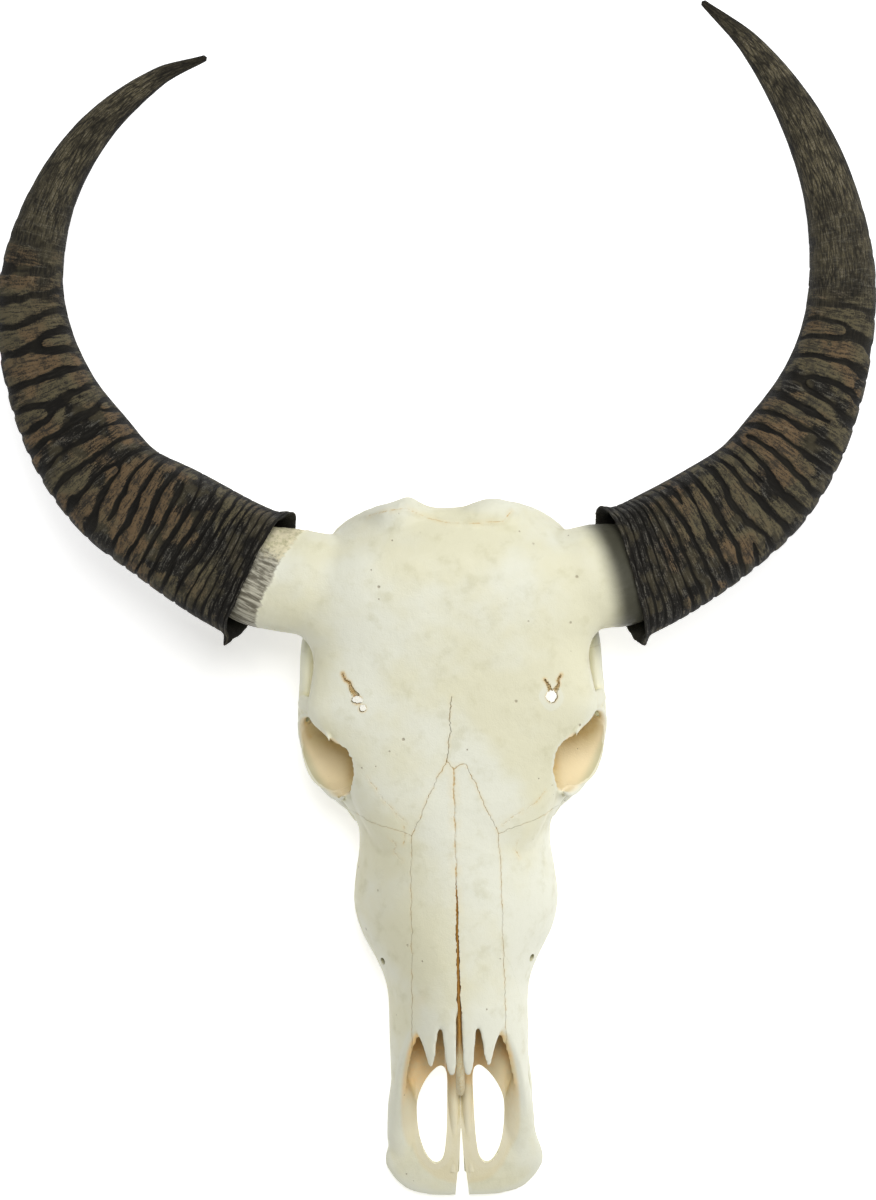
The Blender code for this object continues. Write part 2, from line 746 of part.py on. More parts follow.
def build_bone():
    """The whole bony skull as one closed skin, before its seams are cut."""
    heavy = [body("frontal", FRONTAL, 32), body("braincase", BRAINCASE), body("face", FACE, 32, 56)]
    heavy.append(occiput_knob())
    for make in (horn_core, facial_tuber, ear_region, nuchal_crest, crest_corner, cheek_root):
        heavy += both_sides(make)
    skull = remesh(join_meshes("skull", heavy), BODY_VOXEL, 9)

    cavity = [body("cavity", NASAL_CAVITY, 24, 30), side_prism("opening", NOSE_OPENING, -80, 80)]
    cavity += both_sides(orbit_hollow)
    boolean(skull, cavity, "DIFFERENCE")

    slender = [skull, vomer(), body("plates", PREMAXILLA, 28, 26, PREMAXILLA_ASIDE)]
    for make in (zygomatic_arch, orbit_floor, orbit_cup, orbit_rim, postorbital_bar, jugular_process, condyle,
                 bulla, pterygoid_wing, tooth_ridge):
        slender += both_sides(make)
    skull = remesh(join_meshes("skull", slender), VOXEL, 3)

    scoops = both_sides(orbit_hollow)
    scoops.append(lump("foramen_magnum", (0, 500, -116), (17, 34, 15)))
    scoops.append(lump("throat", (0, 318, -110), (17, 30, 17)))
    boolean(skull, scoops, "DIFFERENCE")
    keep_largest(remesh(skull, VOXEL, 1))
    thin = skull.modifiers.new("thin", "DECIMATE")
    thin.ratio = BONE_SHARE
    settle(skull)
    boolean(skull, both_sides(palate_slot) + [premaxilla_slit()], "DIFFERENCE")
    boolean(skull, both_sides(palate_rod) + both_sides(nasal_prong) + both_sides(core_plug), "UNION")
    return above_floor(skull)


def seams():
    """Thin cuts along the sutures, which part the skull into its bones."""
    half, low, high, ahead, aside = SEAM / 2, -190, 40, -30, 150
    cheek_x, cheek_y, cheek_level = 73.2, 287, -56
    palate_end = 308

    midline = [(2, ahead), (1.7, 90), (1.3, 140), (1.0, 205), (half, 225), (half, 323)]
    cuts = [
        prism("middle", midline + mirrored(-1, midline[::-1]), -40, high),
        fence("palate", [(0, ahead), (0, 323)], low, -39),
        fence("crown", NASAL_END[:-1] + mirrored(-1, NASAL_END[::-1]), PALATE_ROOF - 0.1, high),
        fence("palate_back", [(-cheek_x, palate_end), (cheek_x, palate_end)], low, PALATE_ROOF + 0.1),
        prism("palate_roof", [(-15.9, 307.9), (15.9, 307.9), (11, 322.2), (0, 323.2), (-11, 322.2)],
              PALATE_ROOF - half, PALATE_ROOF + half),
    ]
    for side in (1, -1):
        face_edge = [(33, 270), (60, 279), (cheek_x + 0.1, cheek_y - 2.1)]
        roof_edge = [(15.8, palate_end + 0.1), (20, 296), *face_edge, (cheek_x + 0.1, palate_end + 0.1)]
        inner, outer = sorted((side * 10.9, side * 70))
        wall_inner, wall_outer = sorted((side * 34, side * 70))
        cuts += [
            fence("nasal_edge", mirrored(side, NASAL_EDGE), -46, high),
            fence("cheek", mirrored(side, face_edge), PALATE_ROOF - 0.1, high),
            fence("cheek_side", mirrored(side, [(73, cheek_y - 2.2), (78, cheek_y), (aside, cheek_y)]), low, high),
            prism("palate_roof", mirrored(side, roof_edge), PALATE_ROOF - half, PALATE_ROOF + half),
            side_prism("wall_foot", [(56 - half, -100), (56 + half, -100), (116 + half, -60), (116 - half, -60)],
                       inner, outer),
            side_prism("wall", [(107 - half, -66), (107 + half, -66), (192 + half, -9), (192 - half, -9)],
                       wall_inner, wall_outer),
            fence("rod_end", mirrored(side, [(0.1, 99), (11, 99)]), -100, -46),
            fence("rod_side", mirrored(side, [(11, 64), (11, 110)]), -100, -46),
            prism("cheekbone_top", mirrored(side, [(73, 280), (140, 280), (140, 400), (73, 400)]),
                  cheek_level, cheek_level + SEAM),
            fence("cheekbone_side", mirrored(side, [(cheek_x, cheek_y - 2.2), (cheek_x, 400)]), -130, -55.8),
            fence("arch", mirrored(side, [(86, 400), (130, 412)]), -110, -50),
        ]
    return cuts


def name_of(middle):
    """The bone whose middle this is."""
    x, y, z = middle
    side = "_left" if x > 0 else "_right"
    if abs(x) > 76:
        return "zygomatic" + side
    if y < 95 and z < -40:
        return "premaxilla" + side
    if z > -32 and y < 300:
        return "nasal" + side
    return "maxilla" + side if y < 290 else "cranium"


def part_bones(skull):
    """Cuts the skull along its seams and makes one object of each bone, from the largest piece there."""
    boolean(skull, seams(), "DIFFERENCE")
    made = {}
    for group in islands(skull.data):
        corners = {v for f in group for v in skull.data.polygons[f].vertices}
        points = np.array([skull.data.vertices[v].co / MM for v in corners])
        name = name_of((points.min(0) + points.max(0)) / 2)
        if name in made:
            continue
        bone = skull.copy()
        bone.data = skull.data.copy()
        bone.name = bone.data.name = name
        bpy.context.scene.collection.objects.link(bone)
        keep_faces(bone, group)
        made[name] = bone
    bpy.data.objects.remove(skull)
    return made


for old in list(bpy.data.objects):
    bpy.data.objects.remove(old)
random.seed(4)

bones = part_bones(build_bone())
for side, label in ((1, "_left"), (-1, "_right")):
    jaw = bones["maxilla" + label]
    above_floor(boolean(jaw, tooth_row(side), "UNION"))
    bones["horn_sheath" + label] = sheath("horn_sheath" + label, side)

for name, made in bones.items():
    look = finish(name, HORN, HORN_ROUGHNESS) if "horn" in name else finish(name, BONE, BONE_ROUGHNESS)
    made.data.materials.clear()
    made.data.materials.append(look)
    made.data.shade_smooth()
    made.data.set_sharp_from_angle(angle=math.radians(50))

corners = np.array([v.co for made in bones.values() for v in made.data.vertices], float)
c, s = math.cos(REST_TILT), math.sin(REST_TILT)
tipped = np.c_[corners[:, 0], corners[:, 1] * c - corners[:, 2] * s, corners[:, 1] * s + corners[:, 2] * c]
middle = (tipped.min(0) + tipped.max(0)) / 2
rest = bpy.data.objects.new("rest", None)
bpy.context.scene.collection.objects.link(rest)
rest.rotation_euler = (REST_TILT, 0, 0)
rest.location = (-middle[0], -middle[1], -tipped[:, 2].min())
for made in bones.values():
    made.parent = rest
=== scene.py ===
import math

import bmesh
import bpy
import numpy as np
from mathutils import Matrix, Vector


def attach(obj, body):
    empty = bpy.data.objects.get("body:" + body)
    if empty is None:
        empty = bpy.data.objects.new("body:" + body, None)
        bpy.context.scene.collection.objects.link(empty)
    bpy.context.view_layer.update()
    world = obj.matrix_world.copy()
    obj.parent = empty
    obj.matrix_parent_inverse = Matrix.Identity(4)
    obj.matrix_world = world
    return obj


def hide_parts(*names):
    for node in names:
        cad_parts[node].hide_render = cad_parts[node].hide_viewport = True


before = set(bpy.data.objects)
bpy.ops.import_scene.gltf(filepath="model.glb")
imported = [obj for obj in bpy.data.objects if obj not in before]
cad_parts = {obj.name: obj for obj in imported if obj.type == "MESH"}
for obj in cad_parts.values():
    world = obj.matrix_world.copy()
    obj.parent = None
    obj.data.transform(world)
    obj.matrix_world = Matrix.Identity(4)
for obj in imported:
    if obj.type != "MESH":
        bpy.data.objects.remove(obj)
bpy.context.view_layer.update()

# The skull's own frame. The skull is worked lying flat, in millimetres from the tip of its nose: +X to its
# left, +Y to the poll and +Z up out of the forehead. It then tips up about X until its cheek teeth and the
# two processes beside the neck joint lie on the floor.
MM = 0.001
TILT = math.radians(11.0)
NOSE_TIP = Vector((5.239, -446.291, 89.0 * math.cos(TILT))) * MM
AS_IT_LIES = Matrix.Translation(NOSE_TIP) @ Matrix.Rotation(TILT, 4, "X")


def floor_level(y):
    """The level, in the skull's frame, of the floor under a place along it."""
    return -(89.0 + math.tan(TILT) * y)


# The forehead and the box of the brain behind it. In life these are one thick, air-filled shell of bone, so
# they are worked as two solid bodies, each a smooth skin over a few measured sections. A row is the place
# along Y, half-width, top, level of the widest point, bottom, and how square it is above and below that.
FOREHEAD = [
    (262, 60, -8, -36, -62, 2.2, 2.0), (285, 72, -5.5, -34, -62, 2.3, 2.0),
    (305, 80, -5, -31, -60, 2.4, 2.0), (325, 86, -4, -26, -54, 2.5, 2.0),
    (345, 99, -3, -22, -46, 2.5, 2.0), (361, 110, -1.5, -20, -40, 2.5, 2.0),
    (378, 107, 0, -22, -44, 2.5, 2.0), (400, 103.5, 2.5, -26, -54, 2.5, 2.0),
    (413, 107, 4, -29, -60, 2.4, 2.0), (425, 117, 5, -32, -66, 2.4, 2.0),
    (450, 124, 6, -35, -74, 2.4, 2.0), (475, 115, 4, -38, -80, 2.3, 2.0),
    (491, 90, -2, -42, -84, 2.2, 2.0), (504, 74, -9, -44, -82, 2.2, 2.0),
    (513, 48, -18, -44, -72, 2.2, 2.0),
]
BRAIN_BOX = [
    (300, 26, -20, -70, -104, 2.2, 2.2), (330, 42, -12, -66, -106, 2.2, 2.2),
    (360, 52, -8, -66, -112, 2.2, 2.3), (395, 58, -6, -70, -122, 2.2, 2.4),
    (425, 66, -6, -76, -134, 2.3, 2.6), (450, 76, -6, -82, -144, 2.4, 2.6),
    (475, 84, -10, -86, -146, 2.4, 2.6), (493, 82, -14, -84, -138, 2.4, 2.4),
    (502, 66, -24, -80, -122, 2.4, 2.2),
]


def smooth_rows(rows, places, at):
    """Rows on a smooth curve through the given rows, which stand at `places`, read at other places."""
    rows, places, at = np.array(rows, float), np.array(places, float), np.array(at, float)
    slope = np.gradient(rows, places, axis=0)
    slope[1:-1] = (rows[2:] - rows[:-2]) / (places[2:] - places[:-2])[:, None]
    i = np.clip(np.searchsorted(places, at, "right") - 1, 0, len(places) - 2)
    gap = (places[i + 1] - places[i])[:, None]
    t = (at - places[i])[:, None] / gap
    return (
        (2 * t**3 - 3 * t**2 + 1) * rows[i]
        + (t**3 - 2 * t**2 + t) * gap * slope[i]
        + (3 * t**2 - 2 * t**3) * rows[i + 1]
        + (t**3 - t**2) * gap * slope[i + 1]
    )


def placed(name, mesh):
    """An object with this mesh, put in the scene."""
    made = bpy.data.objects.new(name, mesh)
    bpy.context.scene.collection.objects.link(made)
    return made


def turn_faces_out(mesh):
    """Makes every face of a closed mesh face outward."""
    work = bmesh.new()
    work.from_mesh(mesh)
    bmesh.ops.recalc_face_normals(work, faces=work.faces)
    work.to_mesh(mesh)
    work.free()


def closed_skin(name, rings):
    """A closed piece over rings of points in millimetres, with its two ends filled."""
    rings = np.array(rings, float)
    count, sides = rings.shape[:2]
    faces = [tuple(range(sides)), tuple(range((count - 1) * sides, count * sides))]
    for r in range(count - 1):
        for i in range(sides):
            j = (i + 1) % sides
            faces.append((r * sides + i, r * sides + j, (r + 1) * sides + j, (r + 1) * sides + i))
    mesh = bpy.data.meshes.new(name)
    mesh.from_pydata((rings.reshape(-1, 3) * MM).tolist(), [], faces)
    turn_faces_out(mesh)
    return placed(name, mesh)


def power(value, exponent):
    """The value's size raised to a power, with its own sign."""
    return np.sign(value) * np.abs(value) ** exponent


def body(name, rows, rings=90, sides=48, aside=0.0):
    """A solid whose sections stand across Y, as the rows of this file say."""
    turn = np.arange(sides) * math.tau / sides
    c, s = np.cos(turn), np.sin(turn)
    made = []
    for y, wide, top, waist, bottom, above, below in smooth_rows(
        rows, [r[0] for r in rows], np.linspace(rows[0][0], rows[-1][0], rings)
    ):
        x = np.where(s > 0, power(c, 2 / above), power(c, 2 / below)) * wide + aside
        rise, drop = power(s, 2 / above) * (top - waist), power(s, 2 / below) * (waist - bottom)
        made.append(np.c_[x, np.full(sides, y), np.where(s > 0, rise, drop) + waist])
    return closed_skin(name, made)


bone_bodies = [body("forehead", FOREHEAD), body("brain_box", BRAIN_BOX)]

# The face and snout: the upper jaws, the roof of the nose and the tear bones, one body from the tip of the
# snout to the eyes. It bulges over the roots of the cheek teeth.
FACE = [
    (24, 50, -46, -68, -80, 2, 3), (62, 51.5, -24, -67, -82, 2, 3.5), (90, 52.5, -16, -67, -85, 2, 4),
    (123, 53, -11, -68, -89, 2, 4), (153, 54, -8.5, -70, -92, 2, 4), (172, 61.5, -7.5, -75, -95, 2, 4),
    (194, 73, -6.5, -80, -99, 2, 4), (216, 78, -6, -81, -103, 2, 4), (240, 75.5, -5.5, -78, -107, 2, 4),
    (260, 72.5, -5.5, -73, -111, 2.1, 4), (282, 73, -5.5, -66, -114, 2.2, 3.5),
    (302, 71.5, -6, -60, -114, 2.2, 3), (328, 61, -8, -58, -108, 2.2, 2.5),
]


def rod(name, rows, sides=20, rings=30, square=2.0, up=(0, 0, 1)):
    """A solid along a bent line. A row is x, y, z, half-width to the side and half-height towards `up`."""
    rows = np.array(rows, float)
    far = np.r_[0, np.cumsum(np.linalg.norm(np.diff(rows[:, :3], axis=0), axis=1))]
    rows = smooth_rows(rows, far, np.linspace(0, far[-1], rings))
    turn = np.arange(sides) * math.tau / sides
    c, s = power(np.cos(turn), 2 / square)[:, None], power(np.sin(turn), 2 / square)[:, None]
    made = []
    for i, row in enumerate(rows):
        along = Vector(rows[min(i + 1, rings - 1), :3] - rows[max(i - 1, 0), :3]).normalized()
        aside = along.cross(Vector(up)).normalized()
        upward = aside.cross(along)
        made.append(row[:3] + np.array(aside) * c * row[3] + np.array(upward) * s * row[4])
    return closed_skin(name, made)


def lump(name, centre, radii, rings=24, sides=32):
    """A solid egg shape."""
    tilt = (np.arange(rings) + 0.5) * math.pi / rings
    turn = np.arange(sides) * math.tau / sides
    made = []
    for t in tilt:
        out = math.sin(t)
        ring = np.c_[out * np.cos(turn), out * np.sin(turn), np.full(sides, math.cos(t))]
        made.append(np.array(centre) + ring * np.array(radii))
    return closed_skin(name, made)


def both_sides(make):
    """The same shape on the skull's left and, mirrored, on its right."""
    return [make(side) for side in (1, -1)]


def facial_tuber(side):
    """The knob on the cheek above the front molar."""
    return lump("tuber", (side * 63, 216, -87), (14, 30, 13))


def cheek_root(side):
    """The cheekbone's body, between the face and the eye socket."""
    return rod(
        "cheek_root",
        [(side * 46, 250, -66, 14, 20), (side * 57, 272, -62, 13, 24), (side * 68, 290, -60, 11.5, 25),
         (side * 84, 306, -68, 9, 15)],
    )


bone_bodies.append(body("face", FACE, 120))
bone_bodies += both_sides(facial_tuber) + both_sides(cheek_root)

# The horn cores: bone that grows out of the forehead and fills the root of each sheath. A horn's centre line
# is given once, for its core and its sheath: x, y, z and the half-width across the curve, from rim to tip.
HORNS = {
    1: [
        (128, 459, -36, 49), (158, 473, -44, 48), (198, 496, -52, 45.5), (235, 523, -58, 42),
        (264, 560, -63, 38), (286, 601, -66, 31.5), (299, 644, -68, 27), (303, 690, -69, 24.5),
        (294, 750, -69, 20), (272, 806, -66, 15.5), (238, 857, -60, 9), (201, 890.9, -54.1, 2.4),
    ],
    -1: [
        (-141, 464, -36, 49.5), (-169, 479, -44, 48), (-208, 504, -52, 45.5), (-247, 530, -58, 41.5),
        (-276, 567, -63, 39), (-297, 606, -66, 33), (-310, 650, -68, 28), (-312, 696, -69, 23.5),
        (-295, 755, -69, 18), (-262, 805, -66, 13.5), (-214, 843, -60, 7.5), (-176, 857, -54, 2.4),
    ],
}


def horn_core(side):
    """The bony core, flared where it leaves the forehead and tapered inside the sheath."""
    rim, next_place = Vector(HORNS[side][0][:3]), Vector(HORNS[side][1][:3])
    rows = [(side * 60, 454, -38, 38, 32), (side * 90, 457, -37, 38, 32), (side * 108, 459, -36, 39.5, 31)]
    for share, wide, deep in ((0.06, 38.5, 26), (0.36, 37, 24.5), (1.0, 32, 22), (1.5, 22, 15)):
        rows.append((*rim.lerp(next_place, share), wide, deep))
    return rod("horn_core", rows, 32, 40, 2.2)


bone_bodies += both_sides(horn_core)

# The back of the skull: the crest along the poll with its two low corners and the notch between them, the
# rough knob in its middle, and the swellings behind the ear openings.
def nuchal_crest(side):
    """The ridge from the poll down each side of the back of the skull."""
    return rod(
        "crest",
        [(0, 499, -20, 8, 9), (side * 18, 506, -17, 8, 9), (side * 34, 510, -18, 10, 9),
         (side * 60, 503, -36, 9, 11), (side * 80, 490, -60, 9, 12), (side * 88, 474, -92, 9, 11)],
        up=(0, 1, 0),
    )


def crest_corner(side):
    """The low corner of the poll on each side of its notch."""
    return lump("corner", (side * 33, 504, -22), (24, 16, 15))


def ear_region(side):
    """The swelling behind the ear opening."""
    return lump("mastoid", (side * 76, 466, -94), (19, 22, 36))


def occiput_knob():
    """The knob and ridge in the middle of the back of the skull."""
    return rod(
        "knob",
        [(0, 500, -34, 12, 9), (0, 506, -52, 11, 8), (0, 500, -76, 7, 6), (0, 494, -98, 6, 5)],
        up=(0, 1, 0),
    )


bone_bodies.append(lump("peak", (-30, 507, -21), (13, 16, 12)))
bone_bodies += both_sides(nuchal_crest) + both_sides(crest_corner) + both_sides(ear_region) + [occiput_knob()]

# The hollow of the nose, which opens over the whole front of the snout, and the eye sockets. The thick bone
# is melted into one skin first, and these are scooped out of it.
NOSE_HOLLOW = [
    (20, 42, -36, -60, -70, 2.0, 4.0), (70, 43, -30, -62, -74, 2.0, 4.0),
    (110, 43, -19, -62, -77, 2.2, 4.0), (160, 43, -14, -64, -83, 2.3, 4.0),
    (210, 43, -12.5, -66, -90, 2.6, 3.0), (265, 41, -12, -62, -92, 2.8, 3.0),
    (300, 34, -12.5, -52, -84, 2.6, 2.4), (328, 18, -15, -44, -66, 2.2, 2.0),
]
NOSE_OPENING = [
    (137, 30), (137, -12), (129, -20), (112, -31), (89, -44), (62, -57), (40, -67), (20, -70), (-30, -70),
]
THICK_BONE_CELL = 3.0
THICK_BONE_PASSES = 16
EYE_CENTRE = (98.0, 328.0, -42.0)
EYE_FACING = (0.88, -0.35, 0.32)
EYE_RADIUS = 31.0


def prism(name, outline, low, high):
    """A plan outline of x and y standing from one level to another."""
    return closed_skin(name, [[(x, y, z) for x, y in outline] for z in (low, high)])


def side_prism(name, outline, left, right):
    """A side outline of y and z running across from one x to another."""
    return closed_skin(name, [[(x, y, z) for y, z in outline] for x in (left, right)])


def eye_axis(side):
    """The middle of an eye socket's mouth, and the direction that it faces."""
    x, y, z = EYE_CENTRE
    out, ahead, up = EYE_FACING
    return Vector((side * x, y, z)), Vector((side * out, ahead, up)).normalized()


def eye_hollow(side):
    """What is scooped out of an eye socket, from its mouth to the hole at its back."""
    centre, facing = eye_axis(side)
    r = EYE_RADIUS
    return rod(
        "eye_hollow",
        [(*(centre + facing * 40), r + 3, r + 3), (*(centre + facing * 4), r, r),
         (*(centre - facing * 16), r - 2, r - 2), (side * 66, 348, -56, r - 9, r - 8),
         (side * 48, 366, -62, 9, 11)],
        40,
        40,
    )


def settle(made):
    """Puts the object's modifiers into its mesh."""
    graph = bpy.context.evaluated_depsgraph_get()
    mesh = bpy.data.meshes.new_from_object(made.evaluated_get(graph))
    made.modifiers.clear()
    made.data = mesh
    return made


def carve(made, others, operation="DIFFERENCE"):
    """Cuts with, or joins on, every object of a list at once, which then goes."""
    group = bpy.data.collections.new("cutters")
    for other in others:
        group.objects.link(other)
    modifier = made.modifiers.new("carve", "BOOLEAN")
    modifier.operation = operation
    modifier.operand_type = "COLLECTION"
    modifier.collection = group
    modifier.solver = "MANIFOLD"
    settle(made)
    for other in others:
        bpy.data.objects.remove(other)
    bpy.data.collections.remove(group)
    return made


def melt(name, pieces, cell, passes):
    """Joins overlapping pieces into one skin of small faces and rounds what lies between them."""
    work = bmesh.new()
    for piece in pieces:
        work.from_mesh(piece.data)
        bpy.data.objects.remove(piece)
    mesh = bpy.data.meshes.new(name)
    work.to_mesh(mesh)
    work.free()
    made = placed(name, mesh)
    modifier = made.modifiers.new("melt", "REMESH")
    modifier.mode = "VOXEL"
    modifier.voxel_size = cell * MM
    rounding = made.modifiers.new("round", "SMOOTH")
    rounding.factor = 0.5
    rounding.iterations = passes
    return settle(made)


thick_bone = melt("thick_bone", bone_bodies, THICK_BONE_CELL, THICK_BONE_PASSES)
nose_opening = side_prism("nose_opening", NOSE_OPENING, -80, 80)
carve(thick_bone, [body("nose_hollow", NOSE_HOLLOW), nose_opening] + both_sides(eye_hollow))

# The free ends of the nose bones, each with an inner and an outer prong, cut from the arched roof of the
# nose, which overhangs the opening like a short visor.
NASAL_PRONGS = [
    (1.6, 140), (1.8, 122), (2.2, 108), (2.6, 97), (3.8, 90.5), (5.6, 88), (7.8, 89.5), (10, 95),
    (11.3, 107), (12.4, 119), (12.6, 127), (13.5, 130), (14.5, 128), (16.4, 117), (17.6, 111),
    (18.2, 104), (20, 97), (21.3, 94), (23.3, 97), (25.2, 104), (27.4, 112), (31, 120), (32.4, 128),
    (34.5, 136), (34.5, 140),
]


def mirrored(side, line):
    """A plan line on one side of the skull."""
    return [(side * x, y) for x, y in line]


def nasal_prongs(side):
    """The free front end of one nose bone."""
    wall, foot, under_front, thickness = 5, 4, 30, 4.0
    under = []
    for y, wide, top, waist, bottom, above, below in FACE:
        under.append((y, wide - wall, top - thickness, waist, bottom + foot, above, below))
    under[0] = (under_front, *under[0][1:])
    roof = carve(body("roof", FACE, 160, 96), [body("under", under, 160, 96)])
    return carve(roof, [prism("outline", mirrored(side, NASAL_PRONGS), -38, 20)], "INTERSECT")


# The slender bone: the cheek bars and the rims and cups of the eye sockets, the processes, knobs and ear
# capsules round the neck joint, the wings beside the throat, the tooth-bearing edges and the front plates.
CHEEK_TEETH = [(15, 15, 47), (18, 18, 50), (19, 21, 52.5), (25, 23, 54.5), (28, 24, 56), (30, 23, 57)]
TOOTH_ROW_START = 157.0
CROWN_HEIGHT = 13.0
FRONT_PLATES = [
    (-8.7, 25, -74, -77, -80, 2.5, 2.5), (-6, 38, -72.5, -76, -80.5, 2.5, 2.5),
    (-1.5, 47, -71, -76, -81, 2.6, 2.6), (8, 55.5, -69, -75, -81.5, 2.6, 2.6),
    (17, 60, -67.5, -74, -82, 2.6, 2.6), (26, 59, -66.5, -74, -82, 2.6, 2.8),
    (36, 55.5, -66, -73, -82, 2.6, 3), (50, 53.5, -66, -73, -82, 2.6, 3), (75, 53, -67, -74, -83, 2.8, 3),
    (97, 51, -68, -76, -85, 2.8, 3), (125, 49, -70, -79, -88, 2.8, 3), (160, 46, -77, -83, -90, 2.8, 3),
]
FRONT_PLATES_ASIDE = 2.0
EYE_RIM_RADIUS = 34.0
EYE_RIM_THICKNESS = 3.8
EYE_RIM_STOPS = 72


def snout_flank(side):
    """The rounded shoulder where the wall of the snout runs out into the front plate."""
    return rod(
        "snout_flank",
        [(side * 43, 16, -75, 10, 5.5), (side * 43.5, 34, -73.5, 12.5, 8), (side * 44, 50, -71, 12, 9.5),
         (side * 44.5, 64, -67.5, 10.5, 11), (side * 46, 82, -60, 6, 12)],
    )


def eye_rim(side):
    """The edge of the eye socket, a round bar bent into a ring, and stout only along the cheek."""
    centre, facing = eye_axis(side)
    aside = facing.cross(Vector((0, 0, 1))).normalized()
    upward = aside.cross(facing)
    stops = []
    for i in range(EYE_RIM_STOPS + 1):
        turn = math.tau * i / EYE_RIM_STOPS
        stout = EYE_RIM_THICKNESS * (0.65 - 0.4 * math.sin(turn))
        place = centre + (aside * math.cos(turn) + upward * math.sin(turn)) * EYE_RIM_RADIUS
        stops.append((*place, stout, stout))
    return rod("eye_rim", stops, 16, EYE_RIM_STOPS + 1, up=facing)


def eye_cup(side):
    """The thin-walled bowl under and behind the eye, before it is hollowed."""
    return lump("eye_cup", (side * 90, 334, -66), (25, 34, 21))


def eye_floor(side):
    """The swollen bone under the eye socket, with the ledge of the cheekbone beside it."""
    return rod(
        "eye_floor",
        [(side * 62, 284, -88, 16, 16), (side * 74, 306, -90, 18, 12), (side * 88, 332, -86, 15, 7),
         (side * 101, 358, -80, 9, 6), (side * 106, 376, -76, 5, 6)],
    )


def cheek_bar(side):
    """The bar from the face, under the eye socket, back to the ear."""
    return rod(
        "cheek_bar",
        [(side * 60, 212, -82, 9, 15), (side * 63, 258, -80, 8, 15), (side * 69, 284, -77, 8, 15),
         (side * 85, 300, -76, 9, 14), (side * 102, 321, -77, 8, 12), (side * 111, 350, -75, 6, 10),
         (side * 110, 386, -73, 5.5, 8.5), (side * 106, 420, -77, 6, 8), (side * 88, 450, -86, 9, 10)],
        rings=50,
    )


def bar_behind_eye(side):
    """The upright bar behind the eye socket."""
    return rod(
        "eye_bar",
        [(side * 99, 364, -20, 7, 5), (side * 108, 367, -35, 7, 4.5), (side * 112, 368, -54, 7, 4.5),
         (side * 111, 364, -74, 9, 5)],
        up=(1, 0, 0),
    )


def neck_process(side):
    """The stout process that the back of the skull stands on."""
    return rod(
        "neck_process",
        [(side * 68, 473, -100, 22, 17), (side * 67, 472, -128, 18, 12), (side * 65, 468, -154, 12.5, 8.5),
         (side * 62, 463, -188, 7.5, 6.5)],
        up=(0, 1, 0),
    )


def neck_knob(side):
    """One of the two knobs of the neck joint."""
    return rod(
        "neck_knob",
        [(side * 14, 468, -150, 15, 12), (side * 23, 484, -147, 16, 15), (side * 32, 492, -132, 15, 16),
         (side * 32, 486, -110, 11, 13)],
        up=(0, 1, 0),
    )


def ear_capsule(side):
    """The hollow ear capsule under the skull."""
    return lump("ear_capsule", (side * 46, 434, -138), (12, 20, 15))


def throat_wing(side):
    """The upright plate beside the throat opening."""
    return rod(
        "throat_wing",
        [(side * 24, 286, -112, 4, 10), (side * 23, 312, -118, 3.4, 18), (side * 21, 340, -122, 3.2, 24),
         (side * 20, 366, -120, 3.4, 20), (side * 22, 392, -122, 5, 10)],
    )


def tooth_edge(side):
    """The bone that the cheek teeth stand in: place, distance out, half-width, and how far short of them."""
    top = -84
    stations = [(132, 43, 5, 10), (152, 45, 8, 3), (172, 49, 11, 0), (205, 53, 12.5, 0), (245, 55, 13.5, 0),
                (285, 56.5, 13, 0), (302, 56, 11, 5), (314, 54, 6, 16)]
    rows = []
    for y, x, wide, short in stations:
        low = floor_level(y) + CROWN_HEIGHT + short
        rows.append((side * x, y, (low + top) / 2, wide, (top - low) / 2))
    return rod("tooth_edge", rows, square=2.6)


def nose_plate():
    """The upright plate in the middle of the nose."""
    return rod(
        "nose_plate",
        [(0, 96, -74, 2.4, 8), (0, 130, -68, 2.2, 16), (0, 180, -66, 2.2, 20), (0, 262, -68, 2.4, 22)],
    )


BONE_CELL = 1.3
BONE_PASSES = 9
slender_bone = [thick_bone, nose_plate(), body("front_plates", FRONT_PLATES, 60, 48, FRONT_PLATES_ASIDE)]
for make in (
    nasal_prongs, snout_flank, eye_rim, eye_cup, eye_floor, cheek_bar, bar_behind_eye, neck_process,
    neck_knob, ear_capsule, throat_wing, tooth_edge,
):
    slender_bone += both_sides(make)
skull = melt("skull", slender_bone, BONE_CELL, BONE_PASSES)

# The openings: the eye sockets once more, with clean edges, the two holes above the eyes that the nerves of
# the brow came out of, those on the cheeks, the hole of the spinal cord, the throat, the two long openings
# of the palate and the wedge between the front plates.
PALATE_OPENING = [
    (9.5, 87), (14, 92), (21, 87), (28, 78), (33, 66), (33.5, 53), (32, 37), (28, 24), (21, 15), (14, 18),
    (11.5, 31), (10.3, 49), (9.8, 69),
]
FRONT_WEDGE = [(6, -16), (3.4, 8), (1.4, 25), (0.2, 43)]
rng = np.random.default_rng(7)
BROW_HOLES = [(-70.6, 371, 4.4, 2.9), (-66.6, 364.6, 2.9, 2.9), (74.2, 370.5, 4.2, 4.6)]
BROW_GROOVES = [
    [(-81, 391, -5, 0.5, 1.5), (-79, 386, -4.8, 0.9, 2.0), (-76, 384, -4.6, 1.1, 2.4),
     (-74.8, 379.5, -4.4, 1.8, 3.0), (-71, 373, -4.2, 3.6, 4.2)],
    [(69, 383.5, -3.8, 0.8, 1.6), (71.5, 379.6, -4.2, 1.0, 2.2), (73.4, 374, -4.6, 2.4, 3.4)],
    [(81.5, 386.5, -5.8, 0.6, 1.4), (79, 382.5, -5.2, 1.1, 2.2), (79.6, 379.5, -5.0, 1.0, 2.2),
     (75, 373, -4.6, 2.8, 3.2)],
]


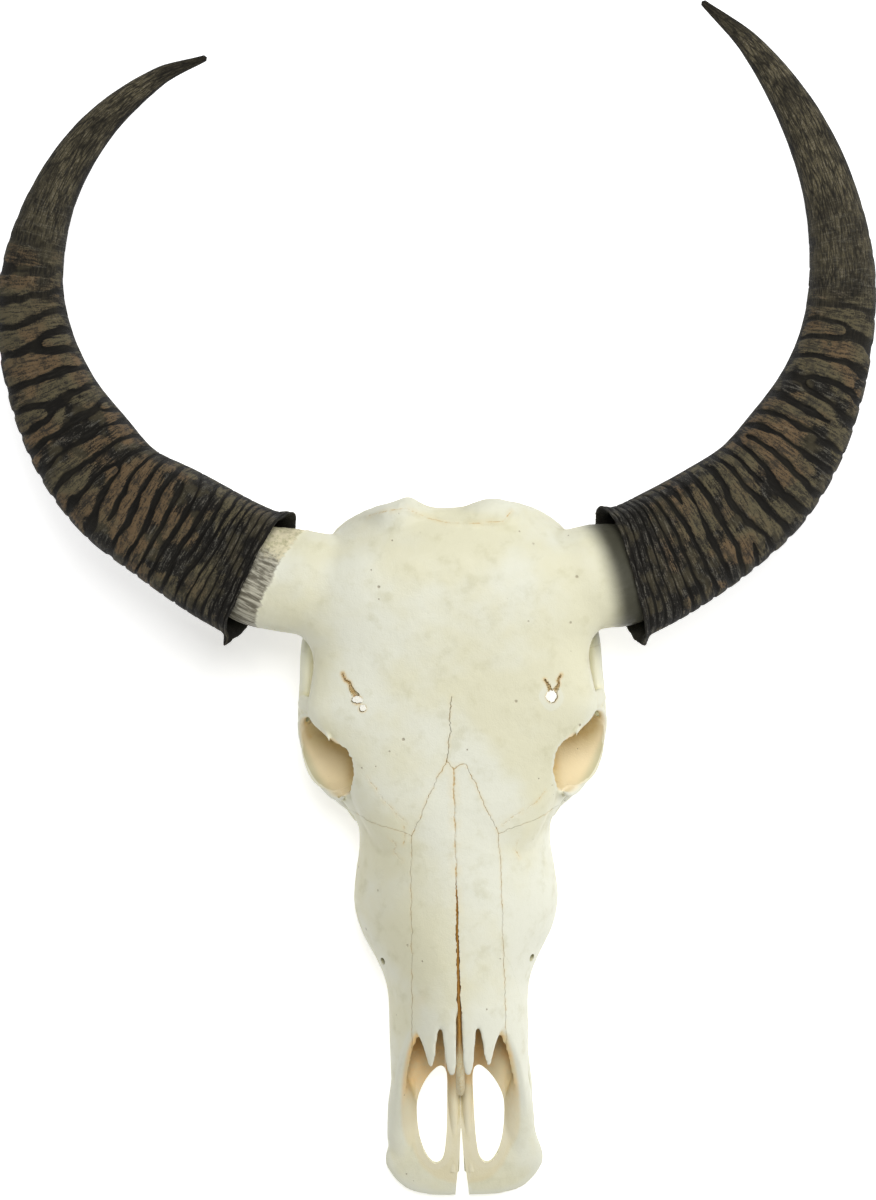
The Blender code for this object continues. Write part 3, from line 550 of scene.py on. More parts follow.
def palate_opening(side):
    """The long opening beside the midline behind the front plates."""
    outline, roundings = np.array(mirrored(side, PALATE_OPENING)), 3
    for _ in range(roundings):
        after = np.roll(outline, -1, 0)
        outline = np.stack([outline * 0.75 + after * 0.25, outline * 0.25 + after * 0.75], 1).reshape(-1, 2)
    return prism("palate_opening", outline, -100, -60)


def brow_groove(rows):
    """A groove with broken edges that runs up the brow from a nerve hole."""
    made = rod("brow_groove", rows, 16, 24)
    for point in made.data.vertices:
        point.co += Vector(rng.uniform(-0.7, 0.7, 3)) * MM
    return made


def brow_hole(x, y, wide, long):
    """A nerve hole in the brow, with a broken edge, that opens into the eye socket below."""
    turn = np.arange(30) * math.tau / 30
    size = 1 + rng.uniform(-0.13, 0.13, 30)
    return prism("brow_hole", np.c_[x + wide * size * np.cos(turn), y + long * size * np.sin(turn)], -64, 12)


def eye_corner(side):
    """The broken corner of the eye socket's mouth towards the nose, where the brow's edge is ragged."""
    made = lump("eye_corner", (side * 87, 323, -36), (18.5, 26, 30), 30, 40)
    for point in made.data.vertices:
        point.co += Vector(rng.uniform(-0.9, 0.9, 3)) * MM
    return made


def cheek_hole(side):
    """The hole in front of the cheek teeth that the nerve of the lip came out of."""
    return rod(
        "cheek_hole",
        [(side * 62, 166, -44, 3, 5), (side * 52, 178, -50, 2.6, 4.5), (side * 44, 192, -54, 2, 3)],
    )


openings = []
for make in (eye_hollow, eye_corner, palate_opening, cheek_hole):
    openings += both_sides(make)
openings += [brow_hole(*hole) for hole in BROW_HOLES]
openings += [brow_groove(rows) for rows in BROW_GROOVES]
openings.append(prism("front_wedge", FRONT_WEDGE + mirrored(-1, FRONT_WEDGE[::-1]), -110, -40))
openings.append(lump("spinal_hole", (0, 500, -116), (17, 34, 15)))
openings.append(lump("throat", (0, 318, -110), (17, 30, 17)))
carve(skull, openings)

# The two slim rods of bone between the palate openings, which grow back from the front plates and carry the
# gristle of the nose. What lies below the level that the skull rests at is cut off later, with the seams.
def palate_rod(side):
    """The slim inner process between the two palate openings."""
    return rod(
        "palate_rod",
        [(side * 7, 10, -74, 5, 6), (side * 5.4, 36, -72, 4.4, 6), (side * 5.2, 67, -69, 4.4, 7),
         (side * 5.2, 106, -68, 4.6, 9)],
    )


def under_floor():
    """All that lies below the floor, to be cut off."""
    near, far, deep, aside, clear = -60, 560, -420, 400, 0.02
    outline = [(near, floor_level(near) + clear), (far, floor_level(far) + clear), (far, deep), (near, deep)]
    return side_prism("under_floor", outline, -aside, aside)


carve(skull, both_sides(palate_rod), "UNION")

# The weathered surface of the bone. It undulates a little, and is rough and fibrous in the band where the
# sheath used to grip the core, mostly on the skull's right. A low, rough line follows the poll.
BAND_WIDTH = {1: 13.0, -1: 15.0}
BAND_ROUGHNESS = {1: (0.18, 0.3), -1: (0.55, 0.9)}
RIM_LEAN = {1: 8.0, -1: 0.0}
CREST_LINE = [
    (-60, 508), (-46, 511), (-32, 513), (-15, 505), (-1, 501.5), (20, 500.5), (41, 501.5), (47, 509),
]
CREST_FAINTNESS = 0.9


def clouds(points, size, seed, layers):
    """Smooth random values of about -1 to 1 at points, changing over a distance of about `size`."""
    total, weight_sum = 0.0, 0.0
    for layer in range(layers):
        grid = np.random.default_rng(seed + layer).uniform(-1, 1, (32, 32, 32))
        at = points / (np.array(size) / 2**layer)
        cell = np.floor(at).astype(int)
        t = at - cell
        t = t * t * (3 - 2 * t)
        value = 0.0
        for corner in np.ndindex(2, 2, 2):
            share = np.prod(np.where(corner, t, 1 - t), axis=1)
            x, y, z = ((cell + corner) % 32).T
            value = value + share * grid[x, y, z]
        total = total + value * 0.5**layer
        weight_sum += 0.5**layer
    return total / weight_sum


def places_of(mesh, what="co"):
    """The points of a mesh, or their outward directions, as rows."""
    flat = np.empty(len(mesh.vertices) * 3, np.float32)
    mesh.vertices.foreach_get(what, flat)
    return flat.reshape(-1, 3).astype(float)


def smoothed(mesh, values, passes):
    """Values at a mesh's points, each averaged with its neighbours a number of times."""
    edges = np.empty(len(mesh.edges) * 2, np.int32)
    mesh.edges.foreach_get("vertices", edges)
    a, b = edges.reshape(-1, 2).T
    size = len(mesh.vertices)
    share = 1 / (1 + np.bincount(a, minlength=size) + np.bincount(b, minlength=size))
    for _ in range(passes):
        for column in values.T:
            total = np.bincount(a, column[b], size) + np.bincount(b, column[a], size)
            column[:] = (column + total) * share
    return values


def ramped(value, low, high):
    """0 below `low`, 1 above `high`, and a smooth rise between."""
    t = np.clip((value - low) / (high - low), 0, 1)
    return t * t * (3 - 2 * t)


def keep_mark(mesh, name, values):
    """Stores one number for each point of the mesh, for its finish to read."""
    mark = mesh.attributes.new(name, "FLOAT", "POINT")
    mark.data.foreach_set("value", np.asarray(values, np.float32))


def keep_vectors(mesh, name, vectors):
    """Stores three numbers for each point of the mesh, for its finish to read."""
    mark = mesh.attributes.new(name, "FLOAT_VECTOR", "POINT")
    mark.data.foreach_set("vector", np.asarray(vectors, np.float32).ravel())


def rim_axes(side):
    """The middle of a sheath's rim, the way the horn runs there, and the way to the inside of its curve."""
    rim = np.array(HORNS[side][0][:3], float)
    along = np.array(HORNS[side][1][:3]) - rim
    along /= np.linalg.norm(along)
    inward = np.cross(along, (0, 0, 1)) * -side
    return rim, along, inward / np.linalg.norm(inward)


def from_rim(points, side):
    """How far points of the core are from the sheath's rim towards the forehead, and how far inward."""
    rim, along, inward = rim_axes(side)
    across = (points - rim) @ inward / 45
    return RIM_LEAN[side] * across - (points - rim) @ along, across


def distance_to(points, line):
    """How far points on the skull's upper side are, in plan, from a line that is close by."""
    far, close, underside = 30.0, 12, -60
    near = np.full(len(points), far)
    inside = (points[:, :2] > line.min(0) - close) & (points[:, :2] < line.max(0) + close)
    box = np.all(inside, axis=1) & (points[:, 2] > underside)
    at = points[box, :2]
    least = np.full(len(at), far)
    for start, end in zip(line[:-1], line[1:]):
        way = end - start
        share = np.clip((at - start) @ way / (way @ way), 0, 1)
        least = np.minimum(least, np.linalg.norm(at - start - share[:, None] * way, axis=1))
    near[box] = least
    return near


def gripped(points, side, soft):
    """1 at points in the band that a sheath used to grip, and how far across the core they are."""
    off, across = from_rim(points, side)
    edge = BAND_WIDTH[side] + 1.2 * clouds(points, 9, 31, 2)
    return (points[:, 0] * side > 95) * (1 - ramped(off, edge - soft, edge + soft)), across


def weather(made):
    """Moves the bone's points a little in or out, and keeps how hollow each place is for its finish."""
    mesh = made.data
    points, out = places_of(mesh) / MM, places_of(mesh, "normal")
    # How hollow or rounded each place is. The finish paints shade from it: olive in hollows, and a painted
    # highlight, paler, on rounded crests.
    hollow = smoothed(mesh, points.copy(), 12) - points
    keep_mark(mesh, "hollow", smoothed(mesh, np.sum(hollow * out, axis=1)[:, None], 2)[:, 0])
    shift = 0.35 * clouds(points, 22, 11, 2) + 0.12 * clouds(points, 5, 21, 2)
    crest = distance_to(points, np.array(CREST_LINE)) + 1.5 * clouds(points, 6, 71, 2)
    shift = shift + 1.1 * np.exp(-((crest / 2.4) ** 2)) * (points[:, 1] > 480)
    for side, (strands, lumps) in BAND_ROUGHNESS.items():
        band, across = gripped(points, side, 0.8)
        _, along, _ = rim_axes(side)
        fibres = clouds(points - np.outer(points @ along, along) * 0.88, 2.6, 41, 2)
        crumbs = clouds(points, 3.4, 51, 2) * ramped(across, 0.35, 0.7)
        shift = shift + band * (strands * fibres + lumps * crumbs + 0.25)
    mesh.vertices.foreach_set("co", ((points + out * shift[:, None]) * MM).astype(np.float32).ravel())


weather(skull)

# The seams between the bones. Each is a thin cut along a line that wanders as a real suture does, and they
# part the skull into its bones. Some wider cracks run only a little way in.
SEAM = 0.12
NASAL_EDGE = [(36, 60), (35, 136), (34, 190), (33.5, 235), (32.5, 269)]
NASAL_ENDS = {
    1: [(32.5, 269), (20, 297), (9, 321), (5, 321), (-0.3, 317.8)],
    -1: [(-32.5, 269), (-20, 296), (-11, 314), (-5, 325.5), (-1.5, 320), (0.3, 317.8)],
}
WALL_FOOT = [(56, -100), (116, -60)]
WALL_SEAM = [(107, -66), (192, -9)]
PALATE_ROOF = -88.0
SHALLOW_CRACKS = [
    [(-5.4, 323), (-3.6, 336), (-2, 350), (-1.4, 360), (-0.2, 372)],
    [(-64, 313), (-54, 298), (-43, 287), (-36, 279)],
    [(-49, 268), (-44, 262), (-46, 256), (-40, 250)],
    [(-38, 276), (-37, 268), (-39, 262)],
    [(68, 300), (56, 287), (44, 281), (36, 276)],
    [(47, 263), (44, 256), (48, 250)],
]


def wandering(line, sway, step=1.6):
    """A plan line cut into short steps that sway from side to side, but meet its ends."""
    line = np.array(line, float)
    far = np.r_[0, np.cumsum(np.linalg.norm(np.diff(line, axis=0), axis=1))]
    count = max(3, int(far[-1] / step))
    at = np.linspace(0, far[-1], count)
    points = np.c_[np.interp(at, far, line[:, 0]), np.interp(at, far, line[:, 1])]
    along = np.gradient(points, axis=0)
    along /= np.linalg.norm(along, axis=1)[:, None]
    fade = np.minimum(1, np.minimum(at, far[-1] - at) / 6)
    bends = np.arange(0, far[-1] + 8, 8)
    drift = rng.uniform(-1, 1, count) * 0.6 + np.interp(at, bends, rng.uniform(-1, 1, len(bends)))
    return points + np.c_[-along[:, 1], along[:, 0]] * (drift * fade * sway)[:, None]


def fence(name, line, low, high, thickness=SEAM):
    """A thin upright cut along a plan line."""
    line = np.array(line, float)
    along = np.gradient(line, axis=0)
    across = np.c_[-along[:, 1], along[:, 0]] / np.linalg.norm(along, axis=1)[:, None]
    aside = across * (np.array(thickness) / 2)[..., None]
    return prism(name, np.r_[line + aside, (line - aside)[::-1]], low, high)


def flat_cut(name, outline, middle):
    """A thin level cut over a plan outline."""
    return prism(name, outline, middle - SEAM / 2, middle + SEAM / 2)


def leaning_cut(name, line, left, right):
    """A thin cut along a line seen from the side, straight across from one x to another."""
    (y, z), (end_y, end_z) = line
    half = SEAM / 2
    outline = [(y - half, z), (y + half, z), (end_y + half, end_z), (end_y - half, end_z)]
    return side_prism(name, outline, left, right)


def middle_seam():
    """The line between the two nose bones and how wide it gapes there."""
    line = wandering([(0.4, 122), (0.2, 200), (0, 318.2)], 0.5)
    width = np.interp(line[:, 1], [122, 180, 215, 240, 318], [3.2, 2.2, 1.6, SEAM, SEAM])
    return line, width * (1 + 0.25 * rng.uniform(-1, 1, len(width)))


def seams():
    """The cuts that part the skull into its bones, and the lines to stain, each with how faint it is."""
    low, high, ahead, aside = -190, 40, -30, 150
    cheek_x, cheek_y, cheek_level, palate_end = 73.2, 287, -56, 308
    middle_line, middle_width = middle_seam()
    front_gap = [(-2, ahead), (2, ahead), (1.9, 90), (1.7, 122.5), (-1.3, 122.5), (-1.7, 90)]
    behind_nose = [(-20, palate_end - 0.1), (20, palate_end - 0.1), (15.5, 330), (0, 333), (-15.5, 330)]
    cuts = [
        fence("middle", middle_line, -40, high, middle_width),
        prism("front_middle", front_gap, -40, high),
        fence("palate", [(0, ahead), (0, 323)], low, -39),
        fence("palate_back", [(-cheek_x, palate_end), (cheek_x, palate_end)], low, PALATE_ROOF + 0.1),
        flat_cut("palate_roof", behind_nose, PALATE_ROOF),
    ]
    lines = [(middle_line, 0.55)]
    for side in (1, -1):
        face_edge = [(32.5, 269), (60, 279), (cheek_x + 0.1, cheek_y - 2.1)]
        roof_edge = [(11.5, palate_end + 2), (15.5, 291), (31, 264), (62, 274), (cheek_x, cheek_y - 7),
                     (cheek_x + 0.1, palate_end + 0.1)]
        edge_line = wandering(mirrored(side, NASAL_EDGE), 0.7)
        end_line = wandering(NASAL_ENDS[side], 0.8)
        cheek_line = wandering(mirrored(side, face_edge), 0.9)
        lines += [(edge_line, 1.7), (end_line, 1.25), (cheek_line, 3.0)]
        cheek_side = [(73, cheek_y - 2.2), (78, cheek_y), (aside, cheek_y)]
        cheekbone = [(73, 280), (140, 280), (140, 400), (73, 400)]
        cuts += [
            fence("nasal_edge", edge_line, -46, high),
            fence("nasal_end", end_line, PALATE_ROOF - 0.1, high),
            fence("cheek", cheek_line, PALATE_ROOF - 0.1, high),
            fence("cheek_side", mirrored(side, cheek_side), low, high),
            flat_cut("palate_roof", mirrored(side, roof_edge), PALATE_ROOF),
            leaning_cut("wall_foot", WALL_FOOT, *sorted((side * 10.9, side * 70))),
            leaning_cut("wall", WALL_SEAM, *sorted((side * 32, side * 70))),
            fence("rod_end", mirrored(side, [(0.04, 99), (11, 99)]), -100, -46),
            fence("rod_side", mirrored(side, [(11, 64), (11, 110)]), -100, -46),
            flat_cut("cheekbone_top", mirrored(side, cheekbone), cheek_level + SEAM / 2),
            fence("cheekbone_side", mirrored(side, [(cheek_x, cheek_y - 2.2), (cheek_x, 400)]), -130, -55.8),
            fence("arch", mirrored(side, [(86, 400), (130, 412)]), -110, -50),
        ]
    return cuts, lines


seam_cuts, stained_lines = seams()
for crack in SHALLOW_CRACKS:
    crack_line = wandering(crack, 1.1, 1.2)
    stained_lines.append((crack_line, 1.1))
    seam_cuts.append(fence("crack", crack_line, -9, 30, 0.3))
carve(skull, seam_cuts + [under_floor()])

# Where the bone is stained or worn, and where shade is painted on it. Marks kept on the mesh tell its finish
# which places lie in the nose or an eye socket, round the holes of the brow, by a seam, in the band that a
# sheath used to grip, or in the painted shade by the left sheath's rim.
BAND_FIBRES = {1: 0.25, -1: 1.0}


def in_nose(points):
    """1 at points on the walls of the hollow of the nose, 0 outside."""
    rows = smooth_rows(NOSE_HOLLOW, [r[0] for r in NOSE_HOLLOW], np.clip(points[:, 1], 20, 328))
    x = np.abs(points[:, 0]) / rows[:, 1]
    height = np.where(points[:, 2] > rows[:, 3], rows[:, 2] - rows[:, 3], rows[:, 3] - rows[:, 4])
    z = np.abs(points[:, 2] - rows[:, 3]) / height
    inside = 1 - ramped(x**2.4 + z**2.4, 1.04, 1.22)
    return inside * (1 - ramped(points[:, 1], 318, 334))


def in_eye(points, side):
    """1 at points deep in an eye socket, 0 outside."""
    centre, facing = (np.array(v) for v in eye_axis(side))
    depth = (points - centre) @ facing
    out = np.linalg.norm(points - centre - depth[:, None] * facing, axis=1)
    behind_mouth = ramped(-depth, -8, 6) * (1 - ramped(-depth, 60, 80))
    return behind_mouth * (1 - ramped(out, EYE_RADIUS + 1, EYE_RADIUS + 4))


def near_brow_holes(points):
    """1 in and round the nerve holes of the brow and their grooves, 0 away from them."""
    away = np.full(len(points), 30.0)
    for x, y, wide, long in BROW_HOLES:
        away = np.minimum(away, np.hypot(points[:, 0] - x, points[:, 1] - y) - (wide + long) / 2)
    for groove in BROW_GROOVES:
        line = np.array(groove)
        away = np.minimum(away, distance_to(points, line[:, :2]) - line[:, 3].mean())
    return (1 - ramped(away, -0.6, 1.4)) * (points[:, 2] > -30)


def keep_stain_and_shade_marks(mesh):
    """Keeps all these marks on the mesh of the bone."""
    points = places_of(mesh) / MM
    band, place, core_grain = np.zeros(len(points)), np.zeros(len(points)), np.zeros((len(points), 3))
    for side in (1, -1):
        grip, across = gripped(points, side, 4.0)
        band = np.maximum(band, grip * BAND_FIBRES[side])
        place = np.where(points[:, 0] * side > 95, across, place)
        _, along, inward = rim_axes(side)
        grain = np.c_[points @ along / 9, points @ inward, points[:, 2]]
        core_grain = np.where((points[:, 0] * side > 0)[:, None], grain, core_grain)
    off, _ = from_rim(points, 1)
    # The 'shade' mark is painted shade on the core by the left sheath's rim, fading towards the forehead.
    keep_mark(mesh, "shade", (points[:, 0] > 95) * (1 - ramped(off, 5, BAND_WIDTH[1] + 11)))
    keep_mark(mesh, "band", band)
    keep_mark(mesh, "band_place", place)
    keep_vectors(mesh, "core_grain", core_grain * MM)
    keep_mark(mesh, "nose", in_nose(points))
    keep_mark(mesh, "nose_depth", points[:, 1])
    # The socket mark grows towards the back of the socket and towards the nose, where the finish paints
    # shade.
    deep = np.maximum(ramped(points[:, 1], 322, 350), ramped(86 - np.abs(points[:, 0]), 0, 14))
    keep_mark(mesh, "socket", (in_eye(points, 1) + in_eye(points, -1)) * (0.5 + 0.5 * deep))
    keep_mark(mesh, "brow", near_brow_holes(points))
    lines = stained_lines + [(np.array(CREST_LINE), CREST_FAINTNESS)]
    keep_mark(mesh, "seam", np.min([distance_to(points, line) * faint for line, faint in lines], axis=0))


keep_stain_and_shade_marks(skull.data)

# The bone's finish: dry, sun-bleached bone, cream over the thick parts with paler patches, painted shade in
# hollows (olive) and a painted highlight on rounded crests (paler), dark pores, brown stain in the nose, a
# tan in the eye sockets that is partly stain and partly painted shade, grey fibres on the gripped band, and
# painted shade on the core by the left sheath's rim.
CREAM = (0.77, 0.745, 0.545, 1)
PALE = (0.80, 0.80, 0.67, 1)
OLIVE = (0.50, 0.47, 0.27, 1)
YELLOW = (0.78, 0.66, 0.38, 1)
SOCKET_PALE = (0.86, 0.73, 0.48, 1)
TAN = (0.66, 0.46, 0.19, 1)
ORANGE = (0.90, 0.60, 0.24, 1)
RUST = (0.50, 0.27, 0.06, 1)
UMBER = (0.20, 0.13, 0.06, 1)
FIBRE_PALE = (0.56, 0.53, 0.42, 1)
FIBRE_GREY = (0.10, 0.085, 0.055, 1)
CRUMB_YELLOW = (0.76, 0.69, 0.47, 1)
SHADED_GREY = (0.058, 0.056, 0.038, 1)


def add(tree, kind, inputs, **settings):
    """One shader node. An input given as another node's output is linked, and any other is set."""
    made = tree.nodes.new(kind)
    for key, value in settings.items():
        setattr(made, key, value)
    for key, value in inputs.items():
        if isinstance(value, bpy.types.NodeSocket):
            tree.links.new(value, made.inputs[key])
        else:
            made.inputs[key].default_value = value
    return made


def blend(tree, share, first, second):
    """A colour between two, `share` of the way from the first to the second."""
    made = add(tree, "ShaderNodeMix", {0: share, 6: first, 7: second}, data_type="RGBA")
    return made.outputs[2]


def level(tree, value, low, high, to_low=0.0, to_high=1.0):
    """A number taken smoothly from one range to another."""
    sockets = {0: value, 1: low, 2: high, 3: to_low, 4: to_high}
    return add(tree, "ShaderNodeMapRange", sockets, interpolation_type="SMOOTHSTEP").outputs[0]


def maths(tree, operation, first, second):
    """Two numbers put together."""
    return add(tree, "ShaderNodeMath", {0: first, 1: second}, operation=operation).outputs[0]


def times(tree, first, second):
    """Two numbers multiplied."""
    return maths(tree, "MULTIPLY", first, second)


def plus(tree, first, second):
    """Two numbers added."""
    return maths(tree, "ADD", first, second)


def mark(tree, name):
    """A number that was kept on the mesh."""
    return add(tree, "ShaderNodeAttribute", {}, attribute_name=name).outputs["Fac"]


def vector_mark(tree, name):
    """Three numbers that were kept on the mesh."""
    return add(tree, "ShaderNodeAttribute", {}, attribute_name=name).outputs["Vector"]


def noise(tree, place, scale, detail=3.0, roughness=0.5):
    """Smooth random numbers from 0 to 1 over the surface."""
    sockets = {"Vector": place, "Scale": scale, "Detail": detail, "Roughness": roughness}
    return add(tree, "ShaderNodeTexNoise", sockets).outputs["Fac"]


def start_finish(name):
    """A new material's node tree and its shader."""
    finish = bpy.data.materials.new(name)
    finish.use_nodes = True
    return finish, finish.node_tree, finish.node_tree.nodes["Principled BSDF"]


def bone_finish():
    """The finish of all the bones."""
    finish, tree, shader = start_finish("bleached_bone")
    place = add(tree, "ShaderNodeTexCoord", {}).outputs["Object"]
    broad = noise(tree, place, 11, 4)
    mottle = noise(tree, place, 70, 5, 0.6)
    fine = noise(tree, place, 900, 3)
    colour = blend(tree, level(tree, broad, 0.42, 0.62), CREAM, PALE)
    colour = blend(tree, level(tree, mottle, 0.5, 0.75, 0, 0.28), colour, OLIVE)
    # Painted shade and painted highlight: olive where the bone is hollow, paler where it is rounded.
    colour = blend(tree, level(tree, mark(tree, "hollow"), 0.03, 0.30, 0, 0.8), colour, OLIVE)
    colour = blend(tree, level(tree, mark(tree, "hollow"), -0.30, -0.04, 0.6, 0), colour, PALE)

    core_grain = vector_mark(tree, "core_grain")
    fibres = noise(tree, core_grain, 400, 4, 0.65)
    crumb = noise(tree, place, 260, 4, 0.65)
    grip = level(tree, plus(tree, mark(tree, "band_place"), times(tree, crumb, 0.5)), 0.55, 0.8)
    band_colour = blend(tree, level(tree, fibres, 0.40, 0.66), FIBRE_GREY, FIBRE_PALE)
    crumb_colour = blend(tree, level(tree, crumb, 0.36, 0.56), OLIVE, CRUMB_YELLOW)
    band_colour = blend(tree, grip, band_colour, crumb_colour)
    band_edge = plus(tree, mark(tree, "band"), times(tree, maths(tree, "SUBTRACT", fibres, 0.5), 1.6))
    colour = blend(tree, level(tree, band_edge, 0.35, 0.75, 0, 0.9), colour, band_colour)
    # Painted shade on the core by the left sheath's rim.
    colour = blend(tree, times(tree, mark(tree, "shade"), 0.94), colour, SHADED_GREY)

    dirt = level(tree, noise(tree, place, 34, 5, 0.65), 0.34, 0.66)
    depth = level(tree, mark(tree, "nose_depth"), 30, 92)
    inside = blend(tree, depth, YELLOW, blend(tree, dirt, YELLOW, ORANGE))
    stain = times(tree, mark(tree, "nose"), level(tree, mark(tree, "nose_depth"), 40, 105, 0.45, 0.95))
    colour = blend(tree, stain, colour, inside)
    # In the eye sockets: pale near the mouth, tan deeper in, which is partly stain and partly painted shade.
    deep_socket_dirt_and_shade = blend(tree, dirt, YELLOW, TAN)
    socket = blend(tree, level(tree, mark(tree, "socket"), 0.5, 0.95), SOCKET_PALE, deep_socket_dirt_and_shade)
    colour = blend(tree, level(tree, mark(tree, "socket"), 0.05, 0.5, 0, 0.85), colour, socket)

    brow = mark(tree, "brow")
    colour = blend(tree, times(tree, brow, 0.7), colour, blend(tree, dirt, YELLOW, TAN))
    colour = blend(tree, level(tree, plus(tree, brow, fine), 1.25, 1.6, 0, 0.45), colour, RUST)

    wander = times(tree, noise(tree, place, 420, 3), 1.1)
    seam = plus(tree, mark(tree, "seam"), wander)
    broken = level(tree, noise(tree, place, 95, 3), 0.40, 0.60, 0.12, 1)
    colour = blend(tree, times(tree, level(tree, seam, 0.6, 4.5, 0.30, 0), broken), colour, YELLOW)
    colour = blend(tree, times(tree, level(tree, seam, 0.45, 1.15, 0.95, 0), broken), colour, TAN)
    colour = blend(tree, times(tree, level(tree, seam, 0.3, 0.75, 0.9, 0), broken), colour, RUST)

    cells = add(tree, "ShaderNodeTexVoronoi", {"Vector": place, "Scale": 190.0})
    chance = add(tree, "ShaderNodeSeparateColor", {0: cells.outputs["Color"]}).outputs
    pore_size = plus(tree, times(tree, chance[1], 0.9), times(tree, fine, 0.7))
    pore = level(tree, maths(tree, "DIVIDE", cells.outputs["Distance"], pore_size), 0.10, 0.26, 1, 0)
    pore = times(tree, pore, level(tree, chance[0], 0.958, 0.968))
    colour = blend(tree, times(tree, pore, 0.55), colour, UMBER)

    tree.links.new(colour, shader.inputs["Base Color"])
    tree.links.new(level(tree, mottle, 0.3, 0.7, 0.42, 0.62), shader.inputs["Roughness"])
    relief = plus(tree, times(tree, fine, 0.25), mottle)
    relief = maths(tree, "SUBTRACT", relief, times(tree, pore, 0.9))
    relief = plus(tree, relief, times(tree, times(tree, fibres, mark(tree, "band")), 1.6))
    relief = plus(tree, relief, times(tree, level(tree, seam, 0.4, 1.4), 0.5))
    bump = add(tree, "ShaderNodeBump", {"Strength": 0.6, "Distance": 0.001, "Height": relief})
    tree.links.new(bump.outputs["Normal"], shader.inputs["Normal"])
    shader.inputs["Specular IOR Level"].default_value = 0.25
    return finish


BONE = bone_finish()


def name_of(middle):
    """The bone whose middle this is."""
    x, y, z = middle
    side = "_left" if x > 0 else "_right"
    if abs(x) > 76:
        return "zygomatic" + side
    if y < 95 and z < -40:
        return "premaxilla" + side
    if z > -32 and y < 300:
        return "nasal" + side
    return "maxilla" + side if y < 290 else "cranium"


def dress(made, finish, slot, *nodes):
    """Lays a piece worked in the skull's frame where the skull lies, and ties it to the frame."""
    made.data.transform(AS_IT_LIES)
    made.data.materials.clear()
    made.data.materials.append(finish)
    made.data.shade_smooth()
    made.data.set_sharp_from_angle(angle=math.radians(50))
    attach(made, "root")
    if nodes:
        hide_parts(*nodes)


for other in bpy.context.selected_objects:
    other.select_set(False)
bpy.context.view_layer.objects.active = skull
skull.select_set(True)
bpy.ops.mesh.separate(type="LOOSE")
bones = {}
for made in sorted(bpy.context.selected_objects, key=lambda o: -len(o.data.vertices)):
    corners = np.array(made.bound_box) / MM
    name = name_of((corners.min(0) + corners.max(0)) / 2)
    if name in bones:
        bpy.data.objects.remove(made)
        continue
    bones[name] = made
    made.name = made.data.name = "bone_" + name
for name, made in bones.items():
    dress(made, BONE, "bone", name)

# Dried gristle of the nose's middle wall, which fills the open part of the seam between the nose bones and
# runs down to the rods of the palate. It is as brown as old glue where it is deep, and paler in front.
GRISTLE_ROWS = [(76, 3.4, -44), (84, 3.4, -30), (96, 3.0, -21), (108, 1.9, -16.5), (122, 1.45, -13.4),
                (140, 1.4, -11.4), (160, 1.35, -9.9), (190, 1.3, -8.2), (215, 1.2, -7.4), (238, 1.1, -7.1)]
GRISTLE_BROWN = (0.60, 0.32, 0.065, 1)
GRISTLE_PALE = (0.70, 0.62, 0.40, 1)


def gristle():
    """The strip, a little narrower than the seam that it stands in."""
    rows = [(0.2, y, top - 7, wide, 7) for y, wide, top in GRISTLE_ROWS]
    return rod("nose_gristle", rows, 12, 160)


def gristle_finish():
    """Brown, brittle matter, paler towards the front of the nose."""
    finish, tree, shader = start_finish("dried_gristle")
    place = add(tree, "ShaderNodeTexCoord", {}).outputs["Object"]
    crumbs = noise(tree, place, 500, 4, 0.6)
    front = level(tree, add(tree, "ShaderNodeSeparateXYZ", {0: place}).outputs[1], -0.345, -0.325, 1, 0)
    colour = blend(tree, front, GRISTLE_BROWN, GRISTLE_PALE)
    colour = blend(tree, level(tree, crumbs, 0.45, 0.7, 0, 0.6), colour, TAN)
    tree.links.new(colour, shader.inputs["Base Color"])
    tree.links.new(level(tree, crumbs, 0.3, 0.7, 0.5, 0.8), shader.inputs["Roughness"])
    bump = add(tree, "ShaderNodeBump", {"Strength": 0.6, "Distance": 0.0006, "Height": crumbs})
    tree.links.new(bump.outputs["Normal"], shader.inputs["Normal"])
    return finish


dress(gristle(), gristle_finish(), "bone")

# The cheek teeth: six on each side, grinding teeth with folded enamel, set close in a row and worn level.
# They are rooted deep in the bone, and the skull lies on their crowns.
DENTINE = (0.66, 0.55, 0.33, 1)
ENAMEL = (0.80, 0.76, 0.62, 1)
TARTAR = (0.20, 0.13, 0.07, 1)
TOOTH_ROOT = 9.0


def tooth(side, y, length, wide, x):
    """One tooth: a column with two folds outside and one inside, its neck narrower than its crown."""
    gum = floor_level(y) + CROWN_HEIGHT
    bottom = floor_level(y) + 0.25
    turn = np.arange(96) * math.tau / 96
    outer, inner = np.cos(turn) * side > 0, np.cos(turn) * side <= 0
    outer_folds = np.where(outer, 0.10 * np.cos(4 * turn) ** 2, 0)
    inner_fold = np.where(inner, 0.09 * np.exp(-((np.sin(turn) / 0.16) ** 2)), 0)
    fold = 1 - outer_folds - inner_fold
    stations = [(gum + TOOTH_ROOT, -3, 0.7), (gum + 3, -1.4, 0.86), (gum - 2, -0.6, 0.93), (gum - 6, 0, 1.0),
                (bottom + 1.4, 0.4, 1.0), (bottom + 0.3, 0.5, 0.96), (bottom, 0.5, 0.9)]
    rings = []
    for level_at, lean, share in stations:
        across = power(np.cos(turn), 0.62) * (wide / 2) * fold * share
        along = power(np.sin(turn), 0.62) * (length / 2 + 0.3) * fold * share
        slope = floor_level(y + 1) - floor_level(y) if level_at < gum - 6 else 0
        rings.append(np.c_[side * (x + lean) + across, y + along, level_at + slope * along])
    return closed_skin("tooth", rings)


